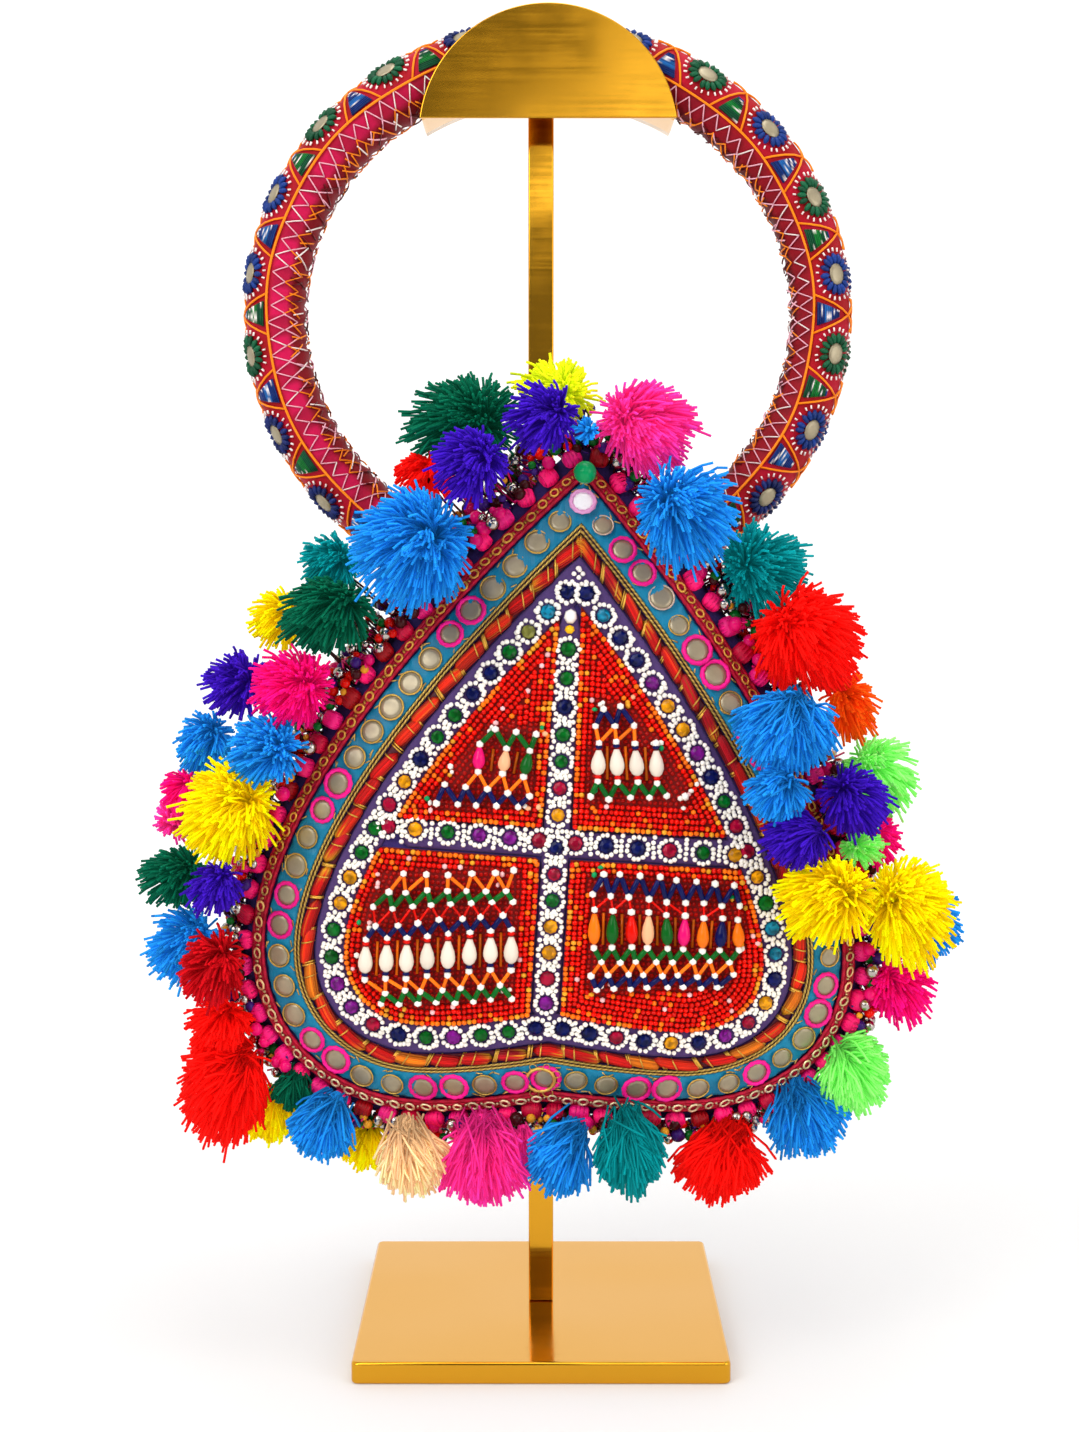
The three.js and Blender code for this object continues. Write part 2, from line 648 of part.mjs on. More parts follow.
const bag = new THREE.Group();
bag.position.set(BAG_PLACE.x, 0, BAG_PLACE.z);
bag.rotation.y = degrees(BAG_TILT);
bag.add(
  named('pouch_front', pouchWall(FRONT, FRONT_INSETS), finish('cloth', 0.9)),
  named('pouch_back', pouchWall(BACK, BACK_INSETS), finish('cloth', 0.9)),
  named('edge_beads', laidCord(EDGE_BEADS), finish('beads', 0.6)),
  named('piping', laidCord(PIPING), finish('piping', 0.7)),
  named('mirror_band', mirrorBand(), finish('band', 0.6)),
  named('gold_cord', laidCord(GOLD_CORD), finish('zari', 0.4, 0.6)),
  named('braid', laidBand(BRAID), finish('braid', 0.6)),
  named('trellis', trellis(), finish('ribbon', 0.8)),
  named('bead_panel_top_left', beadPanel(-1, 1), finish('field', 0.4)),
  named('bead_panel_top_right', beadPanel(1, 1), finish('field', 0.4)),
  named('bead_panel_bottom_left', beadPanel(-1, -1), finish('field', 0.4)),
  named('bead_panel_bottom_right', beadPanel(1, -1), finish('field', 0.4)),
  named('apex_bead', apexBead(), finish('jade', 0.2)),
);

// Draws a piece of the bag up where the right lobe is shorter.
function shortenRightLobe(geometry) {
  const place = geometry.attributes.position;
  for (let k = 0; k < place.count; k += 1) {
    const [u, v] = [place.getX(k), place.getZ(k)];
    const across = THREE.MathUtils.clamp(u / RIGHT_LOBE.across, 0, 1);
    const down = THREE.MathUtils.clamp((RIGHT_LOBE.from - v) / (RIGHT_LOBE.from - RIGHT_LOBE.to), 0, 1);
    place.setZ(k, v + RIGHT_LOBE.raise * Math.sin(Math.PI * across) * down);
  }
  geometry.computeVertexNormals();
}

bag.children.forEach((mesh) => shortenRightLobe(mesh.geometry));

function clothPoints() {
  const points = [];
  for (const mesh of bag.children) {
    const place = mesh.geometry.attributes.position;
    for (let k = 0; k < place.count; k += 1) {
      points.push(new THREE.Vector3().fromBufferAttribute(place, k));
    }
  }
  return points;
}

const cloth = clothPoints();
const poms = POMPOMS.map((row) => seated(row, cloth));
poms.forEach((pom, k) => {
  const others = poms.filter((other) => other !== pom);
  const number = String(k + 1).padStart(2, '0');
  const shape = pompom(pom, pomLimits(pom, others, cloth));
  bag.add(named(`pompom_${number}_${pom.colour}`, shape, finish(pom.colour, 0.95)));
});

const potli = new THREE.Group();
potli.add(
  named('stand_base', standBase(), finish('gold', 0.25, 1)),
  named('stand_holder', standHolder(), finish('gold', 0.25, 1)),
  named('ring_handle', ringHandle(), finish('handle', 0.9)),
  named('ring_sleeve', ringSleeve(), finish('cloth', 0.9)),
  bag,
);

export default potli;
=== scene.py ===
"""Heart-shaped potli bag with a padded embroidered ring, hung on a gold display stand."""
import math

import bpy
import numpy as np
from bpy.props import FloatProperty, FloatVectorProperty, IntProperty, PointerProperty
from bpy.types import Operator, Panel, PropertyGroup
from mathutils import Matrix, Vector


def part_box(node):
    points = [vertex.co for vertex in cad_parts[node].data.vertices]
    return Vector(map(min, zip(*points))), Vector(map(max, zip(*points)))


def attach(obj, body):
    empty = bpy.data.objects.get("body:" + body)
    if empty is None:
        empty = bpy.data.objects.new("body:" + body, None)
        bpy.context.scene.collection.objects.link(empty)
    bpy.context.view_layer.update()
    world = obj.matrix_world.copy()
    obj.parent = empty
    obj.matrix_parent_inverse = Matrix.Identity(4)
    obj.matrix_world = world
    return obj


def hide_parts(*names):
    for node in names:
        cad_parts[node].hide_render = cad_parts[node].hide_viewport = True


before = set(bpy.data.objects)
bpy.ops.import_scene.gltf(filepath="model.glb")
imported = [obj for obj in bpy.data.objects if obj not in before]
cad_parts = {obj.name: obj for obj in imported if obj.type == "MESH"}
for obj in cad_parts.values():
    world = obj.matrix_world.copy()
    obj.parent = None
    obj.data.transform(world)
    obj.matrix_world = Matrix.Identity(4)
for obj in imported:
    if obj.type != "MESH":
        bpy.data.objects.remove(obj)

bl_info = {
    "name": "Potli bag",
    "version": (1, 0, 0),
    "blender": (4, 5, 0),
    "location": "View3D > Sidebar > Potli",
    "description": "Beaded heart-shaped potli bag with yarn pompoms on a display stand",
    "category": "Object",
}

# All lengths below are millimetres; meshes are written in metres.
MM = 0.001
GAP = 0.4

# Stand
PLATE = {"half_chord": 50.4, "rise": 44.2, "foot": 496.2, "front": -39.0, "thick": 2.0}
POST_SIDE = 10.4
SADDLE_THICK = 2.0

# Padded ring, an ellipse in the XZ plane
RING = {"x": 2.8, "y": -22.0, "z": 421.0, "half_width": 109.0, "half_height": 103.2, "tube": 12.2}
RING_TWIST = 14.0
SLEEVE = {"half_turn": 2 / 52, "wall": 2.0}

# Heart-shaped pouch: its piping line from the point to the notch, and how the cloth swells
BAG = {"x": 9.1, "z": 234.1, "tilt": math.radians(3.6)}
SEAM_Y = -46.8
SEAM_GAP = 0.3
HEART_CURVES = [
    [(0, 125), (50, 74), (116, -8), (116, -66)],
    [(116, -66), (116, -104), (86, -129), (52, -129)],
    [(52, -129), (34, -129), (14, -125), (0, -122)],
]
HEART_TOP = 125.0
RIM = -11.0
SWELL = 30.0
FRONT = {"top": 36.0, "bottom": 46.0, "way": -1, "lip": 4.0}
BACK = {"top": 20.0, "bottom": 40.0, "way": 1, "lip": 3.0}
MOUTH_SHARE = 0.45
LIP_FADE = 45.0
MIDDLE_V = -38.0
WALL = 2.0
RIGHT_LOBE = {"raise": 6.5, "across": 140.0, "from": -40.0, "to": -129.0}
POINT_ROUND = 0.45
HALF_STEPS = 360
LOOP_INSETS = np.array([-12, -8, -4, 0, 4, 8, 12, 16, 20, 25, 30, 35, 41, 48, 55, 62], float)

# Distances in from the piping line along the cloth
EDGE_INSET = -6.0
PIPING_INSETS = (-1.9, -0.6, 0.8, 2.2)
MIRROR_INSET = 9.4
CORD_INSETS = (16.0, 17.5)
BRAID_INSET = 21.0
RIBBON_INSET = 30.2
BORDER_INSET = 31.2
PANEL_INSET = 35.6
CROSS = {"u": -2.0, "v": -20.0, "half_width": 5.4}

# Rosettes of white beads round a stone, in order: both borders go down from the point
BORDER_RIGHT = (
    "navy teal navy navy purple amber amber purple navy green ruby ruby amber "
    "green teal teal navy amber ruby purple navy amber navy ruby navy navy"
).split()
BORDER_LEFT = (
    "navy teal olive green navy navy green green navy amber ruby green green "
    "amber amber green green purple purple ruby navy green purple green green navy"
).split()
COLUMN_ROWS = [
    ("green", 55.7), ("green", 44.4), ("navy", 33.3), ("green", 22.6), ("green", 12.2), ("ruby", 1.8),
    ("amber", -8.7), ("navy", -21.2), ("ruby", -31.8), ("green", -42.2), ("amber", -52.5), ("amber", -62.8),
    ("ruby", -73.2), ("purple", -83.2),
]
BAR_ROWS = [
    ("ruby", -67.5), ("amber", -57.0), ("green", -44.3), ("purple", -32.0), ("purple", -20.0), ("ruby", -8.6),
    ("ruby", 5.4), ("navy", 17.4), ("navy", 29.8), ("ruby", 42.2), ("green", 55.4), ("amber", 68.0),
]
BAR_RAISE = 0.9

# Studio floor: where it starts, bends up and ends, and its width
FLOOR = {"front": -1500.0, "back": 900.0, "curve": 700.0, "run": 4200.0, "wide": 6000.0}

# Bead nets: each row hangs from the one above by what the first column names
# columns: link to the row above, beads in the row, first place (u, v), last place (u, v)
NETS = {
    "top_left": [
        ("start", 3, (-28.7, 23.5), (-12.7, 22.0)),
        ("green", 3, (-33.7, 17.3), (-15.2, 15.2)),
        ("bright_drops", 3, (-34.2, 6.2), (-15.6, 5.6)),
        ("orange", 5, (-46.4, 0.4), (-13.4, -1.0)),
        ("navy", 5, (-49.4, -7.0), (-18.1, -6.0)),
    ],
    "top_right": [
        ("start", 2, (12.3, 33.8), (19.3, 35.2)),
        ("navy", 3, (10.3, 26.8), (24.8, 28.1)),
        ("orange", 4, (12.0, 20.8), (34.0, 21.5)),
        ("white_drops", 4, (12.6, 5.4), (35.4, 6.2)),
        ("green", 6, (10.4, -0.9), (46.6, 2.0)),
    ],
    "bottom_left": [
        ("start", 6, (-59.9, -35.3), (-17.3, -31.6)),
        ("orange", 7, (-66.0, -42.4), (-20.6, -38.6)),
        ("green", 8, (-71.5, -49.2), (-17.9, -43.2)),
        ("red", 7, (-69.4, -56.0), (-21.4, -48.6)),
        ("navy", 8, (-73.4, -62.1), (-17.3, -53.6)),
        ("white_drops", 8, (-73.0, -77.6), (-16.6, -69.8)),
        ("orange", 7, (-65.0, -82.2), (-20.4, -76.6)),
        ("green", 8, (-66.4, -87.2), (-16.2, -81.4)),
    ],
    "bottom_right": [
        ("start", 8, (16.5, -29.8), (68.0, -31.7)),
        ("navy", 9, (12.8, -38.6), (71.2, -39.8)),
        ("red", 9, (14.8, -44.4), (71.0, -45.4)),
        ("bright_drops", 9, (15.2, -59.4), (71.6, -58.6)),
        ("green", 8, (18.2, -65.4), (68.2, -63.0)),
        ("orange", 9, (14.4, -71.2), (69.6, -68.9)),
        ("navy", 8, (17.4, -77.0), (64.7, -74.2)),
    ],
}
NET_WINDOWS = {
    "top_left": [(-31, 26), (-10, 26), (-10, -8), (-53, -9), (-47, 3)],
    "top_right": [(9, 38), (22, 38), (37, 21), (51, 4), (49, -3), (8, -3)],
    "bottom_left": [(-71, -35), (-15, -29), (-14, -83), (-58, -89), (-77, -74), (-76, -56)],
    "bottom_right": [(11, -27), (72, -30), (75, -55), (68, -76), (14, -80)],
}
BRIGHT_DROPS = ["orange", "leaf", "red", "peach", "leaf", "magenta", "orange", "navy", "orange"]

# Yarn that lies a little off its solid: pompom, move across and up, and growth
NUDGES = {
    1: (-3.7, 0, 0), 2: (-3, 3, 0), 3: (0, 5, 0), 4: (0, 1, 1.5), 5: (-3.5, 2, 0), 7: (-2, 0, -2),
    9: (-3.5, 1, -1), 11: (-2, 0, -1), 14: (-1.5, 0, 0), 15: (-3.5, 0, 0), 17: (-4.5, 0, 0), 22: (2, 2, 1.5),
    24: (4, 4, 1.5), 25: (0, 3, 1.5), 26: (0, 2, 1.5), 27: (3, 6, 1.5), 28: (-2, 2, 1.5), 29: (2, 4, 1.5),
    30: (-10, 2, 1.5), 38: (0, 0, -1.5), 39: (0, 0, -1), 43: (0, 6, 0),
}

# The pink pompom on the left is dyed deeper than the other two
DEEPER = {11: "magenta"}

# Loose tufts tucked between the pompoms: colour, place (u, out from the seam, v), radius
TUFTS = [
    ("blue", (-1, 34, 140), 5.5), ("crimson", (-66, 14, 108), 8), ("pink", (-6, 12, -142), 8),
    ("magenta", (126, 4, -12), 11), ("magenta", (-150, 6, -10), 9), ("lime", (118, 14, -14), 9),
    ("green", (-100, 8, -126), 9), ("red", (-130, 14, -101), 13), ("pink", (-153, 2, -22), 9),
    ("yellow", (-110, 2, -138), 12),
]

YARNS = {
    "lemon": "#e2f418", "purple": "#3813a6", "pink": "#ff3092", "green": "#045a40", "red": "#ff120c",
    "blue": "#1b84d6", "teal": "#04868a", "yellow": "#ffd600", "crimson": "#b80a14", "peach": "#fcca94",
    "lime": "#86ff6c", "magenta": "#f40c74", "orange": "#ff500a",
}
BEADS = {
    "white": "#f8f2e8", "red": "#e01004", "orange": "#fa7410", "gold": "#e8a028", "green": "#04601c",
    "navy": "#08114e", "leaf": "#0a5a1a", "peach": "#f6b284", "magenta": "#e4106c", "yellow": "#f8bc18",
    "teal": "#127c9c", "purple": "#7c1484", "ruby": "#a00830", "amber": "#e0940c", "olive": "#7c7c38",
    "pale_pink": "#f8c0c0", "jade": "#0a9a58", "dark": "#3c0c10", "violet": "#3a1a6e", "ivory": "#e8dac8",
}
THREADS = {
    "orange": "#ff8a0a", "white": "#fbf0ea", "blush": "#f8b8c8", "green": "#045030", "blue": "#0d2f76",
    "navy": "#10205c", "sky": "#1f68b0", "crimson": "#c80e38", "pink": "#f0187c",
    "hot_pink": "#c00436", "dark_red": "#62040f", "scarlet": "#9a0410", "leaf": "#0c7a30",
    "satin": "#8a081a", "rose": "#cc0a4e", "neon": "#fc1470",
}
ROSETTE_THREADS_RIGHT = "green blue green blue green blue green blue navy navy navy".split()
ROSETTE_THREADS_LEFT = "green green blue blue green navy navy navy green navy".split()


def linear(code):
    """An sRGB hex colour as linear red, green, blue and alpha."""
    channels = [int(code[k:k + 2], 16) / 255 for k in (1, 3, 5)]
    bent = [c / 12.92 if c <= 0.04045 else ((c + 0.055) / 1.055) ** 2.4 for c in channels]
    return (*bent, 1.0)


def rgb(code):
    return np.array(linear(code)[:3])


def shade(palette, names):
    """Linear colours of the names in a palette."""
    return np.array([rgb(palette[name]) for name in names])


# Settings that a user would change


def length(name, default, description):
    return FloatProperty(name=name, default=default, unit="LENGTH", precision=4, description=description)


def colour(name, code, description):
    return FloatVectorProperty(
        name=name, size=4, subtype="COLOR", min=0, max=1, default=linear(code), description=description
    )


def power(name, default, description):
    return FloatProperty(name=name, default=default, unit="POWER", description=description)


class PotliSizes(PropertyGroup):
    seed_bead: length("Seed bead", 0.0021, "Diameter of the small glass beads")
    rosette_ring: length("Rosette ring", 0.0042, "Radius of the ring of white beads round a stone")
    stone: length("Stone", 0.0058, "Diameter of the stone in a rosette")
    mirror: length("Mirror", 0.0086, "Diameter of a mirror on the band")
    wrapped_bead: length("Wrapped bead", 0.0095, "Spacing of the thread-wrapped beads on the rim")
    strand: length("Yarn strand", 0.0012, "Thickness of a cut strand in a pompom")
    strand_cover: FloatProperty(
        name="Strand cover", default=7.35, min=2, max=40,
        description="Square millimetres of pompom for each strand",
    )
    thread: length("Embroidery thread", 0.0009, "Thickness of the laid threads on the ring")
    ring_rosettes: IntProperty(
        name="Ring rosettes", default=22, min=8, description="Mirror rosettes round the ring"
    )


class PotliColours(PropertyGroup):
    gold: colour("Gold", "#d99d28", "Gold plating of the stand")
    cloth: colour("Cloth", "#43327e", "Purple cotton of the pouch")
    band: colour("Band", "#0384ac", "Teal satin of the mirror band")
    ribbon: colour("Ribbon", "#563c78", "Dusky ribbon under the rosettes")
    felt: colour("Felt", "#7c0a06", "Ground of the bead panels")
    mirror: colour("Mirror", "#ac9e80", "Old mirror glass")
    silver: colour("Silver", "#b4aca4", "Metal of the hanging beads")
    floor: colour("Floor", "#d2d1d0", "Studio floor")


class PotliStage(PropertyGroup):
    key: power("Key lamp", 19.0, "Large lamp at the upper left")
    fill: power("Fill lamp", 7.0, "Large lamp at the right")
    top: power("Top lamp", 8.0, "Lamp above the stand")
    front: power("Front lamp", 1.5, "Softbox that the gold plate mirrors")
    strip: power("Strip lamp", 0.23, "Low strip that the post mirrors")
    sky: FloatProperty(name="Surround", default=1.12, description="Brightness of the white studio surround")
    lens: FloatProperty(name="Lens", default=56.24, unit="CAMERA", description="Focal length of the camera")


# Heart outline and the swelling cloth


def unit(vectors):
    return vectors / np.maximum(np.linalg.norm(vectors, axis=-1, keepdims=True), 1e-12)


def step_lengths(line):
    return np.linalg.norm(np.diff(line, axis=0), axis=1)


def running(steps):
    """Distances from the start of a line at each of its points."""
    return np.concatenate([[0], np.cumsum(steps)])


def spaced(line, steps):
    """Points at even distances along a line."""
    run = running(step_lengths(line))
    want = np.linspace(0, run[-1], steps + 1)
    return np.stack([np.interp(want, run, line[:, k]) for k in range(line.shape[1])], axis=1)


def heart_half():
    t = np.linspace(0, 1, 400)[:, None]
    parts = []
    for row in HEART_CURVES:
        a, b, c, d = np.array(row, float)
        parts.append((1 - t) ** 3 * a + 3 * (1 - t) ** 2 * t * b + 3 * (1 - t) * t ** 2 * c + t ** 3 * d)
    return spaced(np.concatenate(parts), 700)


HALF = heart_half()


def distance(u, v):
    """Distance of places from the heart's piping line."""
    places = np.stack([np.abs(np.ravel(u)), np.ravel(v)], axis=1)
    near = [
        np.sqrt(((block[:, None] - HALF[None]) ** 2).sum(-1)).min(1)
        for block in np.array_split(places, max(1, len(places) // 4000))
    ]
    return np.concatenate(near).reshape(np.shape(u))


def heart_loop(inset):
    """Closed loop parallel to the piping line, clockwise from the point."""
    along = unit(np.gradient(HALF, axis=0))
    moved = HALF + inset * np.stack([along[:, 1], -along[:, 0]], axis=1)
    clear = (moved[:, 0] > 0.3) & (distance(moved[:, 0], moved[:, 1]) > abs(inset) - 0.1)
    kept = moved[clear]

    def on_axis(point, before):
        climb = (point[1] - before[1]) / (point[0] - before[0])
        return np.array([0, point[1] - climb * point[0]])

    first = on_axis(kept[0], kept[8])
    if inset < 0:
        first[1] = kept[0, 1] + POINT_ROUND * (first[1] - kept[0, 1])
    right = spaced(np.vstack([first, kept, on_axis(kept[-1], kept[-9])]), HALF_STEPS)
    return np.vstack([right, right[-2:0:-1] * (-1, 1)])


LOOPS = np.array([heart_loop(inset) for inset in LOOP_INSETS])


def flat_point(s, flat):
    """Place on the plane of the heart: share of the way round, and distance in from the piping line."""
    steps = LOOPS.shape[1]
    at = (np.asarray(s) % 1.0) * steps
    i = np.floor(at).astype(int) % steps
    f = (at - np.floor(at))[..., None]
    k = np.clip(np.searchsorted(LOOP_INSETS, flat), 1, len(LOOP_INSETS) - 1)
    g = ((flat - LOOP_INSETS[k - 1]) / (LOOP_INSETS[k] - LOOP_INSETS[k - 1]))[..., None]
    low = LOOPS[k - 1, i] * (1 - f) + LOOPS[k - 1, (i + 1) % steps] * f
    high = LOOPS[k, i] * (1 - f) + LOOPS[k, (i + 1) % steps] * f
    return low * (1 - g) + high * g


def sine_integral(x):
    return x - x ** 3 / 18 + x ** 5 / 600


def cosine_integral(x):
    return x ** 2 / 4 - x ** 4 / 96 + x ** 6 / 4320


def slope_at(wall, v, inset):
    share = (HEART_TOP - v) / (2 * HEART_TOP)
    rim = np.radians(wall["top"] + (wall["bottom"] - wall["top"]) * share)
    return rim * np.exp((RIM - inset) / SWELL)


def depth_at(wall, v, inset):
    return SWELL * (sine_integral(slope_at(wall, v, RIM)) - sine_integral(slope_at(wall, v, inset)))


def flat_inset(wall, v, inset):
    def lost(side, at):
        return SWELL * cosine_integral(slope_at(side, v, at))

    rim = RIM + lost(FRONT, RIM) - lost(FRONT, 0)
    return rim + inset - RIM - lost(wall, RIM) + lost(wall, inset)


def face(wall, s, inset, lift=0.0):
    """Place on a wall of the pouch: way round, distance in along the cloth, height off the cloth."""
    s, inset, lift = np.broadcast_arrays(np.asarray(s, float), inset, lift)
    v = flat_point(s, np.zeros(s.shape))[..., 1]
    slope = slope_at(wall, v, inset)
    flat = flat_point(s, flat_inset(wall, v, inset) - lift * np.sin(slope))
    depth = np.maximum(0, depth_at(wall, flat[..., 1], inset) + lift * np.cos(slope))
    share = 2 * np.minimum(s % 1, 1 - s % 1) / MOUTH_SHARE
    lip = wall["lip"] * np.maximum(0, 1 - share ** 2) * np.maximum(0, 1 - (inset - RIM) / LIP_FADE)
    y = SEAM_Y + wall["way"] * (SEAM_GAP / 2 + depth + lip)
    return np.stack([flat[..., 0], y, flat[..., 1]], axis=-1)


def inside(wall, u, v, lift=0.0):
    """Place on a wall at any point across and up, for what lies inside the borders."""
    flat = distance(u, v)
    inset = 2 * flat - flat_inset(wall, v, flat)
    y = SEAM_Y + wall["way"] * (SEAM_GAP / 2 + depth_at(wall, v, inset) + lift)
    return np.stack([u, y, v], axis=-1)


def leaning(vectors):
    """Turns directions by the lean of the bag."""
    cos, sin = math.cos(BAG["tilt"]), math.sin(BAG["tilt"])
    u, y, v = vectors[..., 0], vectors[..., 1], vectors[..., 2]
    return np.stack([u * cos + v * sin, y, v * cos - u * sin], axis=-1)


def hung(points):
    """From the bag's own upright axes to where it hangs, with its right lobe drawn up."""
    across = np.clip(points[..., 0] / RIGHT_LOBE["across"], 0, 1)
    down = np.clip((RIGHT_LOBE["from"] - points[..., 2]) / (RIGHT_LOBE["from"] - RIGHT_LOBE["to"]), 0, 1)
    raised = points + (RIGHT_LOBE["raise"] * np.sin(np.pi * across) * down)[..., None] * np.array([0, 0, 1])
    return np.array([BAG["x"], 0, BAG["z"]]) + leaning(raised)


def seat(s, inset, lift):
    """Places on the front with axes along the loop, across it and off the cloth, as they hang."""
    s = np.asarray(s, float)
    here = face(FRONT, s, inset, lift)
    off = unit(face(FRONT, s, inset, lift + 1) - here)
    along = unit(face(FRONT, s + 0.001, inset, lift) - face(FRONT, s - 0.001, inset, lift))
    across = unit(np.cross(off, along))
    axes = np.stack([np.cross(across, off), across, off], axis=1)
    return hung(here), leaning(axes)


def inner_seat(u, v, lift):
    """Places inside the borders with axes across, up and off the cloth, as they hang."""
    u, v = np.asarray(u, float), np.asarray(v, float)
    here = inside(FRONT, u, v, lift)
    right = unit(inside(FRONT, u + 1, v, lift) - inside(FRONT, u - 1, v, lift))
    up = unit(inside(FRONT, u, v + 1, lift) - inside(FRONT, u, v - 1, lift))
    off = unit(np.cross(right, up))
    return hung(here), leaning(np.stack([right, np.cross(off, right), off], axis=1))


LOOP_SHARES = np.linspace(0, 1, 1441)


def round_loop(inset, count, start=0.0):
    """Shares of the way round at even distances along the cloth."""
    run = running(step_lengths(face(FRONT, LOOP_SHARES, inset)))
    return np.interp((np.arange(count) + start) / count * run[-1], run, LOOP_SHARES)


def stepped(inset, top, bottom):
    """Shares of the way round at distances that change from the point to the lobes."""
    line = face(FRONT, LOOP_SHARES, inset)
    low = np.clip((HEART_TOP - line[:, 2]) / (2 * HEART_TOP), 0, 1)
    run = running(step_lengths(line) / (top + (bottom - top) * 0.5 * (low[1:] + low[:-1])))
    count = round(run[-1])
    return np.interp((np.arange(count) + 0.5) / count * run[-1], run, LOOP_SHARES)


def band_across(around):
    """Share across the squarish section of a flat band, for a turn round it."""
    return np.sign(np.cos(around)) * np.abs(np.cos(around)) ** 0.5


def solid_box(node):
    """Lowest and highest corner of a CAD node in millimetres."""
    return [np.array(corner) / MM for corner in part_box(node)]


def pompom_nodes():
    return sorted(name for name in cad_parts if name.startswith("pompom_"))


# Ring


def ring_point(turn, around, lift):
    """Place on the padded ring: turn from the right, angle from the front towards the outside."""
    cos, sin = np.cos(turn), np.sin(turn)
    level = np.zeros_like(cos)
    out = unit(np.stack([RING["half_height"] * cos, level, RING["half_width"] * sin], axis=-1))
    centre = np.array([RING["x"], RING["y"], RING["z"]]) + np.stack(
        [RING["half_width"] * cos, level, RING["half_height"] * sin], axis=-1
    )
    reach = np.asarray(RING["tube"] + lift)[..., None]
    front = np.array([0.0, -1.0, 0.0])
    return centre + reach * (out * np.sin(around)[..., None] + front * np.cos(around)[..., None])


def ring_seat(turn, around, lift):
    turn, around = np.broadcast_arrays(np.asarray(turn, float), np.asarray(around, float))
    here = ring_point(turn, around, lift)
    off = unit(ring_point(turn, around, lift + 1) - here)
    along = unit(ring_point(turn + 0.01, around, lift) - here)
    return here, np.stack([along, np.cross(off, along), off], axis=1)


# Mesh work


def modelled(make, smooth=True):
    """Points and faces of a small shape that make() models at the origin."""
    bpy.ops.object.select_all(action="DESELECT")
    make()
    made = bpy.context.active_object
    mesh = made.data
    points = np.zeros(len(mesh.vertices) * 3)
    mesh.vertices.foreach_get("co", points)
    corners = np.zeros(len(mesh.loops), int)
    mesh.loops.foreach_get("vertex_index", corners)
    sizes = np.array([len(polygon.vertices) for polygon in mesh.polygons])
    bpy.data.objects.remove(made)
    bpy.data.meshes.remove(mesh)
    return {"points": points.reshape(-1, 3), "corners": corners, "sizes": sizes, "smooth": smooth}


def round_bead(segments, rings):
    bpy.ops.mesh.primitive_uv_sphere_add(segments=segments, ring_count=rings, radius=1)


def turned(profile, sides):
    """A shape turned from rows of radius and height, by extruding a disc upwards."""
    radius, height = profile[0]
    bpy.ops.mesh.primitive_circle_add(
        vertices=sides, radius=radius, fill_type="NGON", location=(0, 0, height)
    )
    bpy.ops.object.transform_apply(location=True, rotation=False, scale=False)
    bpy.ops.object.mode_set(mode="EDIT")
    for wide, high in profile[1:]:
        bpy.ops.mesh.extrude_region_move(TRANSFORM_OT_translate={"value": (0, 0, high - height)})
        bpy.ops.transform.resize(value=(wide / radius, wide / radius, 1))
        radius, height = wide, high
    bpy.ops.mesh.select_all(action="SELECT")
    bpy.ops.mesh.normals_make_consistent(inside=False)
    bpy.ops.object.mode_set(mode="OBJECT")


def wound_ring(thick, steps, sides, wraps=True):
    """A ring of thread, pinched at every second step like buttonhole stitches."""
    bpy.ops.mesh.primitive_torus_add(
        major_segments=steps, minor_segments=sides, major_radius=1, minor_radius=thick
    )
    if wraps:
        for vertex in bpy.context.active_object.data.vertices:
            step = round(math.atan2(vertex.co.y, vertex.co.x) / (2 * math.pi) * steps)
            if step % 2:
                middle = vertex.co.xy.normalized().to_3d()
                vertex.co = middle + (vertex.co - middle) * 0.72


